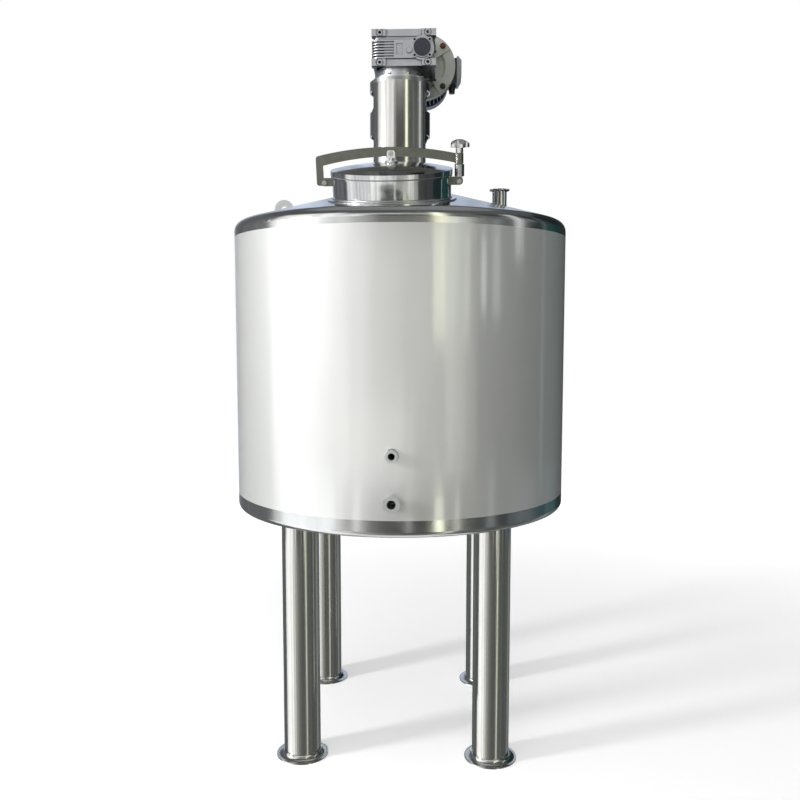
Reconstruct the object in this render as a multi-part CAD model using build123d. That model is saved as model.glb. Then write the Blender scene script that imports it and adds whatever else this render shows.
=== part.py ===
from build123d import *

import os
from math import cos, hypot, radians, sin, sqrt, tan

# Insulated stainless mixing tank on four tubular legs, with a clamped tilted manway on its
# conical top head and a worm gear drive on a windowed stand.
# Millimetres, +Z up. The origin is on the floor under the tank axis, and the manway faces -Y.

# Clearances
SEAT_GAP = 0.3          # between curved pieces that are welded or pushed together
PIN_GAP = 0.1           # around a pin that turns or is turned on
RUN_GAP = 0.6           # between plates that swing past each other
STAVE_GAP = 1.0         # between two insulation staves
FAR = 1000.0            # longer than any cut has to be

# Tank body
TANK_R = 600.0          # outer radius of the cladding and of both heads
SKIN_T = 2.0
INSULATION_T = 46.0
WALL_T = 4.0
HEAD_T = 4.0
SEAM_LOW_Z = 894.0      # weld between the bottom head and the cladding
BODY_H = 912.0          # height of the matt cladding between the two seams
STAVES = 16

# Top head
TOP_BAND = 19.0         # straight flange above the upper seam
TOP_KNUCKLE_R = 38.0
TOP_SLOPE = 15.2        # degrees
SHAFT_HOLE_R = 34.0

# Bottom head and inner floor
LOW_BAND = 37.0
LOW_KNUCKLE_R = 20.0
LOW_SLOPE = 8.5         # degrees
FLOOR_LIFT = 20.0       # inner floor's tangent line above the lower seam
FLOOR_KNUCKLE_R = 40.0
FLOOR_RIM = 25.0

# Bottom outlet
OUTLET_R = 25.5
OUTLET_WALL = 2.0
OUTLET_LIP = 6.5        # ferrule's flange beyond its pipe
OUTLET_LIP_T = 3.0
OUTLET_LIP_SLOPE = 4.0
OUTLET_DROP = 46.0      # ferrule face below the bottom head's centre

# Legs and feet
LEG_INSET = 136.1       # leg's centre in from the tank's side, on the diagonal
LEG_R = 63.5
LEG_T = 3.0
FOOT_FLARE = 26.5       # foot's edge beyond the leg
FOOT_H = 20.0
FOOT_RIM = 5.0
FOOT_PLATE = 6.0
FOOT_LIP = 2.6          # collar's wall round the leg at its top
FLARE_IN = 0.30         # how far the flare's middle point lies along its width
FLARE_UP = 0.26         # and along its height

# Ports on the front of the shell
SOCKET_RISE = 204.0     # centre above the lower seam
SOCKET_R = 20.0
SOCKET_BORE_R = 11.0
SOCKET_REACH = 20.0     # beyond the cladding
DRAIN_RISE = 57.0
DRAIN_PIPE_R = 17.5
DRAIN_BORE_R = 14.0
DRAIN_LIP = 9.5
DRAIN_LIP_T = 7.0
DRAIN_REACH = 30.0

# Vent ferrule on the top head
VENT_INSET = 216.5      # centre in from the tank's side
VENT_TURN = -23.0       # degrees from the X axis
VENT_PIPE_R = 25.0
VENT_WALL = 2.0
VENT_LIP = 10.0
VENT_LIP_T = 8.0
VENT_H = 52.0           # ferrule face above the head
VENT_DIP = 20.0         # pipe's end below the head

# Lifting lug
LUG_INSET = 172.0       # centre in from the tank's side
LUG_W = 84.0
LUG_TOP_R = 34.0
LUG_T = 10.0
LUG_HOLE_R = 12.0
LUG_HOLE_H = 20.0

# Manway, in its own frame: X along the clamp arm, Z square to the cone
MANWAY_TURN = 1.7       # degrees round the tank, from -Y towards -X
NECK_R = 193.0
NECK_T = 4.0
NECK_H = 64.0
NECK_LIP = 4.0
PAD_W = 15.0            # reinforcing pad beyond the neck
PAD_T = 4.0
GASKET_T = 3.0
GASKET_W = 10.0
LID_OVER = 5.0          # lid's edge beyond the neck
LID_RIM_H = 14.0
LID_RISE = 21.0
LID_T = 3.0

# Clamp arm
ARM_T = 12.0
ARM_DEPTH = 29.0
ARM_LIFT = 48.4         # top of the arm above the lid's crown
ARM_FALL = 27.0         # left corner under the arm's crown
ARM_LEG_W = 22.0
ARM_LEG_OUT = 15.0      # leg's middle beyond the hinge pin, so that its foot turns inward
ARM_CORNER_R = 9.0
CLAMP_OUT = 26.0        # hinge pin and swing bolt beyond the neck
PIN_DROP = 21.0         # pins under the neck's rim
PIN_R = 5.0
PIN_HEAD = 6.0
PIN_NUT_R = 8.5
EAR_R = 12.0
EAR_T = 6.0
EAR_ROOT = 30.0         # ears start this far inside the neck's wall before they are coped
SLEEVE_WALL = 6.7
SLEEVE_H = 31.0
SLEEVE_FALL = 22.2      # sleeve's top under the arm's crown
BARREL_R = 15.5
BARREL_RISE = 14.5      # barrel's foot above the pin
ROD_R = 8.0
ROD_SLOT = 0.8          # slack round the rod in the sleeve's slot

# Lid clevis
CLEVIS_BASE_R = 20.0
CLEVIS_BASE_T = 5.0
CLEVIS_STEM_R = 7.5
CLEVIS_W = 27.0
CLEVIS_CHEEK = 7.0
CLEVIS_ROOT = 4.0       # solid part of the fork under its slot
CLEVIS_FALL = 10.0      # cheeks' top under the arm's crown
CLEVIS_PIN_FALL = 20.0

# Star knob
KNOB_R = 32.0
KNOB_CORE = 0.48        # middle's radius, lobe's place and lobe's radius as shares of the knob's
KNOB_LOBE_AT = 0.68
KNOB_LOBE = 0.32
KNOB_NECK_R = 12.0
KNOB_NECK_H = 16.5
KNOB_GRIP_H = 25.0
KNOB_DOME = 1.35        # crown's radius as a share of the knob's
KNOB_CAP = 7.0          # solid metal over the rod
KNOB_LOBES = 5
ROD_SINK = 1.0          # rod's end under the top of the knob's bore

# Drive stand
STAND_R = 109.5
STAND_T = 5.0
STAND_H = 367.0         # pipe's top above the cone at its wall
STAND_PLATE_T = 12.0
WINDOW_W = 117.0
WINDOW_CHAMFER = 12.0
UPPER_WINDOW_FALL = 96.0    # sill under the pipe's top
UPPER_WINDOW_H = 73.0
LOWER_WINDOW_RISE = 61.0    # sill above the cone
LOWER_WINDOW_H = 127.0

# Worm gear reducer
GEAR_FLANGE_R = 98.0
GEAR_FLANGE_T = 10.0
GEAR_FLANGE_H = 36.0
GEAR_HUB_R = 77.0
GEAR_H = 125.0
GEAR_LEFT = 96.0
GEAR_RIGHT = 131.0
GEAR_HALF_Y = 103.0
GEAR_LEDGE = 24.0       # height of the rails along its top and bottom
GEAR_RAIL_IN = 5.0      # rails behind the corner bosses
GEAR_WALL_IN = 9.0      # side walls behind the corner bosses
GEAR_CORNER_R = 26.0
BOSS_W = 50.0
BOSS_D = 34.0
BOSS_HOLE_IN = 29.0     # bolt hole in from the casing's side
BOSS_HOLE_R = 5.5
BOSS_HOLE_H = 14.0
BOSS_RING_R = 10.5      # round land about the hole, set off by a groove
BOSS_RING_W = 3.0
BOSS_RING_D = 2.5
WORM_IN = 49.0          # worm's axis in from the right side
WORM_DROP = 2.5         # and under the casing's middle
WORM_SEAT_R = 42.0
COVER_R = 34.0
COVER_EAR = 26.5        # screw ears from the worm's axis, both ways
COVER_EAR_R = 8.0
COVER_T = 6.0
CAP_R = 30.0
CAP_SPIGOT = 3.0        # cap's rim beyond its spigot
CAP_T = 5.0
TOP_COVER_R = 66.0
TOP_COVER_T = 8.0
TOP_CAP_R = 33.0
TOP_CAP_T = 6.0
FIN_GROOVES = 6
FIN_PITCH = 9.6
FIN_GROOVE_W = 4.6
FIN_MIDDLE = -52.0      # deep grooves end here and shallow ones go on
FIN_RIGHT = -17.0
FIN_SHALLOW = 3.0
FIN_DROP = 3.5          # middle of the fins under the worm's axis
PANEL_X = 2.5           # bare panel between the fins and the worm's seat
PANEL_W = 23.0
PANEL_H = 37.0
PANEL_D = 2.0
PLUG_X = 37.0
PLUG_DROP = 9.0
PLUG_R = 9.0
PLUG_T = 5.0
POCKET_IN = 16.0        # pockets in the casing's underside and top
POCKET_D = 8.0
POCKET_LAND = 9.0       # flat round the flange and the cover

# Motor
INPUT_NECK_R = 44.0
INPUT_NECK_L = 22.0
FLANGE_R = 120.0
FLANGE_T = 14.0
DISH_IN_R = 54.0
DISH_OUT_R = 84.0
DISH_D = 9.0
BOLT_PAD_T = 3.0        # pads under the flange's bolts, proud of its plate
BOLT_PAD_ANGLE = 14.0   # half of each pad's width, in degrees
BOLT_PAD_IN = 3.0
SHIELD_L = 14.0
SHIELD_IN = 4.0
MOTOR_R = 80.0
MOTOR_FIN_R = 93.0
MOTOR_FIN_T = 3.2
MOTOR_FINS = 36
MOTOR_L = 195.0
MOTOR_FIN_END = 8.0     # bare barrel past the fins' ends
FAN_COVER_R = 95.0
FAN_COVER_L = 62.0
FAN_COVER_T = 3.0
FAN_COVER_TURN = 16.0   # rounded edge
GRILLE_SLOTS = 20
GRILLE_W = 5.0
GRILLE_IN_R = 24.0
GRILLE_OUT_R = 72.0
BOX_OUT = 52.0          # terminal lid's face beyond the fins
BOX_L = 104.0
BOX_START = 12.0        # box behind the motor's front end
BOX_LID_T = 18.0
BOX_LID_OVER = 3.0
BOX_HIGH = 52.0         # lid's top above the motor axis
BOX_LOW = 42.0
BOX_FLAT_HIGH = 37.0    # flat part of the lid's face, above and below the motor axis
BOX_FLAT_LOW = 20.0
BOX_EDGE = 5.0          # body inside the lid's outline
BOX_FLOOR = 48.0        # body's underside below the motor axis
BOX_SEAT = 30.0         # half height of its foot on the motor
GLAND_R = 12.5
GLAND_H = 33.0
GLAND_NUT = 0.45        # nut's share of the gland's height
GLAND_TAPER = 2.0
GLAND_IN = 36.0         # gland's axis in from the lid's face

# Agitator
SHAFT_R = 20.0
SHAFT_RISE = 91.0       # shaft's end above the lower seam
COUPLING_R = 42.0
COUPLING_FALL = 174.0   # coupling's foot under the stand's top
COUPLING_H = 110.0
SEAL_R = 62.0
SEAL_H = 44.0
IMPELLER_RISE = 116.0
IMPELLER_R = 210.0
IMPELLER_HUB_R = 36.0
IMPELLER_HUB_H = 60.0
BLADE_ROOT = 6.0        # blade's root inside the hub
BLADE_W = 70.0
BLADE_T = 8.0
BLADE_PITCH = 40.0      # degrees
BLADES = 3

# Values that follow
WALL_OUT_R = TANK_R - SKIN_T - INSULATION_T
WALL_IN_R = WALL_OUT_R - WALL_T
FLOOR_R = WALL_IN_R - SEAT_GAP
SEAM_TOP_Z = SEAM_LOW_Z + BODY_H
TOP_TANGENT_Z = SEAM_TOP_Z + TOP_BAND
LOW_TANGENT_Z = SEAM_LOW_Z - LOW_BAND
FLOOR_TANGENT_Z = SEAM_LOW_Z + FLOOR_LIFT
LEG_SPREAD = (TANK_R - LEG_INSET) / sqrt(2)
FOOT_R = LEG_R + FOOT_FLARE
SOCKET_Z = SEAM_LOW_Z + SOCKET_RISE
DRAIN_Z = SEAM_LOW_Z + DRAIN_RISE
VENT_AT = TANK_R - VENT_INSET
LUG_AT = TANK_R - LUG_INSET
MANWAY_AT = (STAND_R + TANK_R) / 2
PAD_R = NECK_R + PAD_W
LID_R = NECK_R + LID_OVER
LID_LOW = NECK_H + GASKET_T + 2 * SEAT_GAP
LID_CROWN = LID_LOW + LID_RIM_H + LID_RISE
CLAMP_X = NECK_R + CLAMP_OUT
PIN_Z = NECK_H - PIN_DROP
ARM_CROWN = LID_CROWN + ARM_LIFT
ARM_SHOULDER = ARM_CROWN - ARM_FALL
EAR_NEAR = ARM_T / 2 + RUN_GAP / 2
SLOT_R = ROD_R + ROD_SLOT
SLEEVE_R = SLOT_R + SLEEVE_WALL
SLEEVE_TOP = ARM_CROWN - SLEEVE_FALL
BARREL_LOW = PIN_Z + BARREL_RISE
BARREL_CROWN_R = SLEEVE_TOP - SLEEVE_H - RUN_GAP - PIN_Z
CLEVIS_PIN_Z = ARM_CROWN - CLEVIS_PIN_FALL
KNOB_LOW = PIN_Z + hypot(SLEEVE_TOP - PIN_Z, SLEEVE_R) + SEAT_GAP
KNOB_GRIP_Z = KNOB_LOW + KNOB_NECK_H
KNOB_TOP = KNOB_GRIP_Z + KNOB_GRIP_H
MOTOR_START = INPUT_NECK_L + 2 * FLANGE_T + SHIELD_L
BOX_FACE = MOTOR_FIN_R + BOX_OUT


def solid_of(points):
    """Turns a closed (radius, height) outline into a solid round the Z axis."""
    face = make_face(Polyline(*points, close=True))
    return revolve(Plane.XZ * face, Axis.Z)


def cone_line(radius, tangent_z, knuckle, slope, way, inset=0.0):
    """Gives the middle and end of a conical head's knuckle and its height at any radius.

    way is 1 for a head that rises to its centre and -1 for one that falls; inset moves the
    surface inward by a wall thickness.
    """
    angle = radians(slope)
    turn = knuckle - inset
    half = radians(45 - slope / 2)
    middle = (radius - knuckle + turn * cos(half), tangent_z + way * turn * sin(half))
    end = (radius - knuckle + turn * sin(angle), tangent_z + way * turn * cos(angle))

    def height(at):
        return end[1] + way * (end[0] - at) * tan(angle)

    return middle, end, height


def conical_head(radius, edge_z, tangent_z, knuckle, slope, way, hole_r, thickness):
    """A pressed head: straight flange, knuckle and shallow cone with a round centre hole."""
    out_mid, out_end, out_z = cone_line(radius, tangent_z, knuckle, slope, way)
    in_mid, in_end, in_z = cone_line(radius, tangent_z, knuckle, slope, way, thickness)
    inner = radius - thickness
    outline = (
        Line((radius, edge_z), (radius, tangent_z))
        + ThreePointArc((radius, tangent_z), out_mid, out_end)
        + Line(out_end, (hole_r, out_z(hole_r)))
        + Line((hole_r, out_z(hole_r)), (hole_r, in_z(hole_r)))
        + Line((hole_r, in_z(hole_r)), in_end)
        + ThreePointArc(in_end, in_mid, (inner, tangent_z))
        + Line((inner, tangent_z), (inner, edge_z))
        + Line((inner, edge_z), (radius, edge_z))
    )
    return revolve(Plane.XZ * make_face(outline), Axis.Z)


def tube(outer, inner, low, high):
    """An upright tube between two heights."""
    height = high - low
    return Pos(0, 0, low + height / 2) * (Cylinder(outer, height) - Cylinder(inner, height))


def rod(radius, low, high, x=0.0, y=0.0):
    """An upright round bar between two heights."""
    return Pos(x, y, (low + high) / 2) * Cylinder(radius, high - low)


def bar_y(radius, start, end, x=0.0, z=0.0):
    """A round bar along Y between two places."""
    return Pos(x, (start + end) / 2, z) * Rot(90, 0, 0) * Cylinder(radius, abs(end - start))


def slab_x(start, end):
    """All that lies between two places along X."""
    return Pos((start + end) / 2, 0, 0) * Box(end - start, 2 * FAR, 10 * FAR)


_, _, top_z = cone_line(TANK_R, TOP_TANGENT_Z, TOP_KNUCKLE_R, TOP_SLOPE, 1)
_, _, top_inner_z = cone_line(TANK_R, TOP_TANGENT_Z, TOP_KNUCKLE_R, TOP_SLOPE, 1, HEAD_T)
_, _, low_z = cone_line(TANK_R, LOW_TANGENT_Z, LOW_KNUCKLE_R, LOW_SLOPE, -1)
_, _, floor_z = cone_line(FLOOR_R, FLOOR_TANGENT_Z, FLOOR_KNUCKLE_R, LOW_SLOPE, -1)

STAND_TOP_Z = top_z(STAND_R) + STAND_H
GEAR_LOW_Z = STAND_TOP_Z + STAND_PLATE_T + GEAR_FLANGE_H
GEAR_TOP_Z = GEAR_LOW_Z + GEAR_H
GEAR_MID_Z = GEAR_LOW_Z + GEAR_H / 2
WORM_X = GEAR_RIGHT - WORM_IN
WORM_Z = GEAR_MID_Z - WORM_DROP
FIN_H = FIN_GROOVES * FIN_PITCH + FIN_PITCH - FIN_GROOVE_W
FIN_LOW_Z = WORM_Z - FIN_DROP - FIN_H / 2
COUPLING_LOW_Z = STAND_TOP_Z - COUPLING_FALL
IMPELLER_Z = SEAM_LOW_Z + IMPELLER_RISE

MANWAY = Plane(
    origin=(0, -MANWAY_AT, top_z(MANWAY_AT)),
    x_dir=(1, 0, 0),
    z_dir=(0, -sin(radians(TOP_SLOPE)), cos(radians(TOP_SLOPE))),
)
MOTOR = Plane(origin=(WORM_X, GEAR_HALF_Y, WORM_Z), x_dir=(1, 0, 0), z_dir=(0, 1, 0))


def on_manway(shape):
    """Sets a shape made in the manway's own frame onto the cone."""
    return Rot(0, 0, -MANWAY_TURN) * MANWAY.location * shape


def on_motor(shape):
    """Sets a shape made round the Z axis onto the motor's axis, from the reducer backwards."""
    return MOTOR.location * shape


def above_top(gap=0.0):
    """Everything above the top head's outer surface by a gap, out past the knuckle."""
    return solid_of([
        (0, top_z(0) + gap), (FAR, top_z(FAR) + gap), (FAR, top_z(0) + FAR), (0, top_z(0) + FAR),
    ])


def under_bottom(gap=0.0):
    """Everything under the bottom head's outer surface by a gap."""
    return solid_of([(0, low_z(0) - gap), (FAR, low_z(FAR) - gap), (FAR, -FAR), (0, -FAR)])


def port_holes():
    """The round holes that the two front ports need through the shell."""
    holes = bar_y(SOCKET_R + SEAT_GAP, -TANK_R - FAR, 0, z=SOCKET_Z)
    return holes + bar_y(DRAIN_PIPE_R + SEAT_GAP, -TANK_R - FAR, 0, z=DRAIN_Z)


def cladding_shell():
    return tube(TANK_R, TANK_R - SKIN_T, SEAM_LOW_Z, SEAM_TOP_Z) - port_holes()


def insulation():
    """The ring of slabs between the cladding and the vessel."""
    outer, inner = TANK_R - SKIN_T - SEAT_GAP, WALL_OUT_R + SEAT_GAP
    ring = tube(outer, inner, SEAM_LOW_Z + HEAD_T, SEAM_TOP_Z - HEAD_T)
    joint = Pos(TANK_R / 2, 0, (SEAM_LOW_Z + SEAM_TOP_Z) / 2) * Box(TANK_R, STAVE_GAP, BODY_H)
    for index in range(STAVES):
        ring -= Rot(0, 0, 360 / STAVES * (index + 0.5) - 90) * joint
    return ring - port_holes()


def vessel_wall():
    wall = tube(WALL_OUT_R, WALL_IN_R, FLOOR_TANGENT_Z, top_inner_z(WALL_OUT_R) - SEAT_GAP)
    return wall - port_holes()


def top_head():
    head = conical_head(TANK_R, SEAM_TOP_Z, TOP_TANGENT_Z, TOP_KNUCKLE_R, TOP_SLOPE, 1,
                        SHAFT_HOLE_R, HEAD_T)
    head -= on_manway(rod(NECK_R - NECK_T, -NECK_H, NECK_H))
    return head - Rot(0, 0, VENT_TURN) * rod(VENT_PIPE_R + SEAT_GAP, SEAM_TOP_Z, top_z(0), VENT_AT)


def bottom_head():
    return conical_head(TANK_R, SEAM_LOW_Z, LOW_TANGENT_Z, LOW_KNUCKLE_R, LOW_SLOPE, -1,
                        OUTLET_R + SEAT_GAP, HEAD_T)


def vessel_floor():
    return conical_head(FLOOR_R, FLOOR_TANGENT_Z + FLOOR_RIM, FLOOR_TANGENT_Z, FLOOR_KNUCKLE_R,
                        LOW_SLOPE, -1, OUTLET_R + SEAT_GAP, HEAD_T)


def bottom_outlet():
    face = low_z(0) - OUTLET_DROP
    lip = face + OUTLET_LIP_T
    bore = OUTLET_R - OUTLET_WALL
    top = floor_z(OUTLET_R) + HEAD_T
    return solid_of([
        (bore, face), (OUTLET_R + OUTLET_LIP, face), (OUTLET_R + OUTLET_LIP, lip),
        (OUTLET_R, lip + OUTLET_LIP_SLOPE), (OUTLET_R, top), (bore, top),
    ])


def at_legs(shape):
    """Repeats a shape made on the Z axis at the four legs."""
    return [Pos(x * LEG_SPREAD, y * LEG_SPREAD, 0) * shape for x in (-1, 1) for y in (-1, 1)]


def legs():
    pipe = tube(LEG_R, LEG_R - LEG_T, FOOT_PLATE, SEAM_LOW_Z)
    return Compound(children=[piece & under_bottom(SEAT_GAP) for piece in at_legs(pipe)])


def feet():
    """Four flared feet, each a plate with a trumpet-shaped collar round its leg."""
    collar = LEG_R + SEAT_GAP
    lip = collar + FOOT_LIP
    middle = (lip + FLARE_IN * (FOOT_R - lip), FOOT_RIM + FLARE_UP * (FOOT_H - FOOT_RIM))
    outline = (
        Line((0, 0), (FOOT_R, 0)) + Line((FOOT_R, 0), (FOOT_R, FOOT_RIM))
        + ThreePointArc((FOOT_R, FOOT_RIM), middle, (lip, FOOT_H))
        + Line((lip, FOOT_H), (collar, FOOT_H)) + Line((collar, FOOT_H), (collar, FOOT_PLATE))
        + Line((collar, FOOT_PLATE), (0, FOOT_PLATE)) + Line((0, FOOT_PLATE), (0, 0))
    )
    return Compound(children=at_legs(revolve(Plane.XZ * make_face(outline), Axis.Z)))


def thermometer_socket():
    start, end = -TANK_R - SOCKET_REACH, -WALL_IN_R
    return bar_y(SOCKET_R, start, end, z=SOCKET_Z) - bar_y(SOCKET_BORE_R, start, end, z=SOCKET_Z)


def drain_ferrule():
    start, end = -TANK_R - DRAIN_REACH, -WALL_IN_R
    body = bar_y(DRAIN_PIPE_R, start, end, z=DRAIN_Z)
    body += bar_y(DRAIN_PIPE_R + DRAIN_LIP, start, start + DRAIN_LIP_T, z=DRAIN_Z)
    return body - bar_y(DRAIN_BORE_R, start, end, z=DRAIN_Z)


def vent_ferrule():
    face = top_z(VENT_AT) + VENT_H
    low = top_inner_z(VENT_AT) - VENT_DIP
    bore = VENT_PIPE_R - VENT_WALL
    body = solid_of([
        (bore, low), (VENT_PIPE_R, low), (VENT_PIPE_R, face - VENT_LIP_T),
        (VENT_PIPE_R + VENT_LIP, face - VENT_LIP_T / 2), (VENT_PIPE_R + VENT_LIP, face), (bore, face),
    ])
    return Rot(0, 0, VENT_TURN) * Pos(VENT_AT, 0, 0) * body


def lifting_lug():
    """A rounded plate with an eye, standing on the left of the top head."""
    foot = -LUG_T - LUG_W * sin(radians(TOP_SLOPE))
    face = Pos(0, LUG_HOLE_H) * Circle(LUG_TOP_R)
    face += Polygon((-LUG_W / 2, foot), (LUG_W / 2, foot),
                    (LUG_TOP_R, LUG_HOLE_H), (-LUG_TOP_R, LUG_HOLE_H), align=None)
    face -= Pos(0, LUG_HOLE_H) * Circle(LUG_HOLE_R)
    plate = extrude(Plane.XZ * face, LUG_T / 2, both=True)
    return Pos(-LUG_AT, 0, top_z(LUG_AT)) * plate & above_top(SEAT_GAP)


def manway_neck():
    pipe = tube(NECK_R, NECK_R - NECK_T, -NECK_H, NECK_H)
    lip = tube(NECK_R + NECK_LIP, NECK_R - NECK_T, NECK_H - NECK_LIP, NECK_H)
    return on_manway(pipe + lip) & above_top(SEAT_GAP)


def manway_pad():
    """A plate that follows the cone round the neck's foot."""
    ring = on_manway(tube(PAD_R, NECK_R + SEAT_GAP, -NECK_H, NECK_H))
    return (ring & above_top(SEAT_GAP)) - above_top(SEAT_GAP + PAD_T)


def lid_gasket():
    low = NECK_H + SEAT_GAP
    outer = NECK_R + NECK_LIP / 2
    return on_manway(tube(outer, outer - GASKET_W, low, low + GASKET_T))


def manway_lid():
    """A dished lid with an upright rim and a turned-in seat for its gasket."""
    rim_top = LID_LOW + LID_RIM_H
    seat = NECK_R - GASKET_W
    wall = LID_R - LID_T
    dome_r = (LID_R ** 2 + LID_RISE ** 2) / (2 * LID_RISE)
    half_r = LID_R / 2
    half_z = LID_CROWN - dome_r + sqrt(dome_r ** 2 - half_r ** 2)
    outline = (
        Line((LID_R, LID_LOW), (LID_R, rim_top))
        + ThreePointArc((LID_R, rim_top), (half_r, half_z), (0, LID_CROWN))
        + Line((0, LID_CROWN), (0, LID_CROWN - LID_T))
        + ThreePointArc((0, LID_CROWN - LID_T), (half_r, half_z - LID_T), (wall, rim_top - LID_T))
        + Line((wall, rim_top - LID_T), (wall, LID_LOW + LID_T))
        + Line((wall, LID_LOW + LID_T), (seat, LID_LOW + LID_T))
        + Line((seat, LID_LOW + LID_T), (seat, LID_LOW)) + Line((seat, LID_LOW), (LID_R, LID_LOW))
    )
    return on_manway(revolve(Plane.XZ * make_face(outline), Axis.Z))


def clamp_arm():
    """The bent flat bar: hinge eye, left leg, arched beam and the slotted sleeve at its right."""
    left = -CLAMP_X - ARM_LEG_OUT - ARM_LEG_W / 2
    inner_left = left + ARM_LEG_W
    foot, instep = PIN_Z - ARM_LEG_W / 2, PIN_Z + ARM_LEG_W / 2
    right = CLAMP_X - SLOT_R - SLEEVE_WALL / 2
    outline = (
        ThreePointArc((left, ARM_SHOULDER), (0, ARM_CROWN), (right, SLEEVE_TOP))
        + Line((right, SLEEVE_TOP), (right, SLEEVE_TOP - ARM_DEPTH))
        + ThreePointArc((right, SLEEVE_TOP - ARM_DEPTH), (0, ARM_CROWN - ARM_DEPTH),
                        (inner_left, ARM_SHOULDER - ARM_DEPTH))
        + Line((inner_left, ARM_SHOULDER - ARM_DEPTH), (inner_left, instep))
        + Line((inner_left, instep), (-CLAMP_X, instep)) + Line((-CLAMP_X, instep), (-CLAMP_X, foot))
        + Line((-CLAMP_X, foot), (left, foot)) + Line((left, foot), (left, ARM_SHOULDER))
    )
    face = make_face(outline)
    face = fillet(face.vertices().sort_by(Axis.X)[:2], ARM_CORNER_R)
    arm = extrude(Plane.XZ * face, ARM_T / 2, both=True)
    arm += bar_y(ARM_LEG_W / 2, -ARM_T / 2, ARM_T / 2, -CLAMP_X, PIN_Z)
    arm += rod(SLEEVE_R, SLEEVE_TOP - SLEEVE_H, SLEEVE_TOP, CLAMP_X)
    arm -= rod(SLOT_R, 0, FAR, CLAMP_X)
    arm -= Pos(CLAMP_X + SLEEVE_R, 0, SLEEVE_TOP) * Box(2 * SLEEVE_R, 2 * SLOT_R, 2 * SLEEVE_TOP)
    arm -= bar_y(PIN_R + PIN_GAP, -ARM_T, ARM_T, -CLAMP_X, PIN_Z)
    arm -= bar_y(PIN_R + PIN_GAP, -ARM_T, ARM_T, 0, CLEVIS_PIN_Z)
    return on_manway(arm)


def lid_clevis():
    """A stem on the lid's crown with a fork that straddles the clamp arm."""
    low = LID_CROWN + SEAT_GAP
    slot = ARM_CROWN - ARM_DEPTH - RUN_GAP
    root = slot - CLEVIS_ROOT
    top = ARM_CROWN - CLEVIS_FALL
    half = EAR_NEAR + CLEVIS_CHEEK
    cheek = Pos(0, (root + CLEVIS_PIN_Z) / 2) * Rectangle(CLEVIS_W, CLEVIS_PIN_Z - root)
    cheek += Pos(0, CLEVIS_PIN_Z) * Circle(CLEVIS_W / 2)
    cheek = cheek & (Pos(0, top / 2) * Rectangle(CLEVIS_W, top))
    fork = extrude(Plane.XZ * cheek, half, both=True)
    fork -= Pos(0, 0, slot + CLEVIS_W) * Box(2 * CLEVIS_W, 2 * EAR_NEAR, 2 * CLEVIS_W)
    fork -= bar_y(PIN_R + PIN_GAP, -2 * half, 2 * half, 0, CLEVIS_PIN_Z)
    body = rod(CLEVIS_BASE_R, low, low + CLEVIS_BASE_T) + rod(CLEVIS_STEM_R, low, root) + fork
    return on_manway(body)


def cross_pin(x, z, half_grip):
    """A pin along Y with a nut on each end, through cheeks that end half_grip from the middle."""
    pin = bar_y(PIN_R, -half_grip - PIN_HEAD, half_grip + PIN_HEAD, x, z)
    nut = extrude(Plane.XZ * RegularPolygon(PIN_NUT_R, 6), PIN_HEAD / 2, both=True)
    for side in (-1, 1):
        pin += Pos(x, side * (half_grip + SEAT_GAP + PIN_HEAD / 2), z) * nut
    return pin


def ear_pair(side):
    """Two ears on the neck with a round outer end, coped to the neck's wall."""
    root = NECK_R - EAR_ROOT
    face = Pos(side * (root + CLAMP_X) / 2, PIN_Z) * Rectangle(CLAMP_X - root, 2 * EAR_R)
    face += Pos(side * CLAMP_X, PIN_Z) * Circle(EAR_R)
    plate = extrude(Plane.XZ * face, EAR_T / 2, both=True)
    plate -= bar_y(PIN_R + SEAT_GAP, -EAR_T, EAR_T, side * CLAMP_X, PIN_Z)
    pair = []
    for way in (-1, 1):
        ear = Pos(0, way * (EAR_NEAR + EAR_T / 2), 0) * plate
        pair.append(on_manway(ear - rod(NECK_R + SEAT_GAP, -FAR, FAR)))
    return pair


def clamp_ears():
    return Compound(children=ear_pair(-1) + ear_pair(1))


def clamp_pins():
    """The hinge pin at the left and the swing bolt's pin at the right."""
    grip = EAR_NEAR + EAR_T
    return Compound(children=[on_manway(cross_pin(side * CLAMP_X, PIN_Z, grip)) for side in (-1, 1)])


def swing_bolt():
    """An eye with a crowned shoulder that passes under the sleeve, and the knob's rod."""
    neck_w = 2 * EAR_R - ARM_T / 3
    body = bar_y(EAR_R - RUN_GAP, -ARM_T / 2, ARM_T / 2, CLAMP_X, PIN_Z)
    body += Pos(CLAMP_X, 0, (PIN_Z + BARREL_LOW) / 2) * Box(neck_w, ARM_T, BARREL_LOW - PIN_Z)
    barrel = rod(BARREL_R, BARREL_LOW, PIN_Z + BARREL_CROWN_R, CLAMP_X)
    body += barrel & (Pos(CLAMP_X, 0, PIN_Z) * Sphere(BARREL_CROWN_R))
    body += rod(ROD_R, BARREL_LOW, KNOB_TOP - KNOB_CAP - ROD_SINK, CLAMP_X)
    body -= bar_y(PIN_R + PIN_GAP, -ARM_T, ARM_T, CLAMP_X, PIN_Z)
    return on_manway(body)


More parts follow.
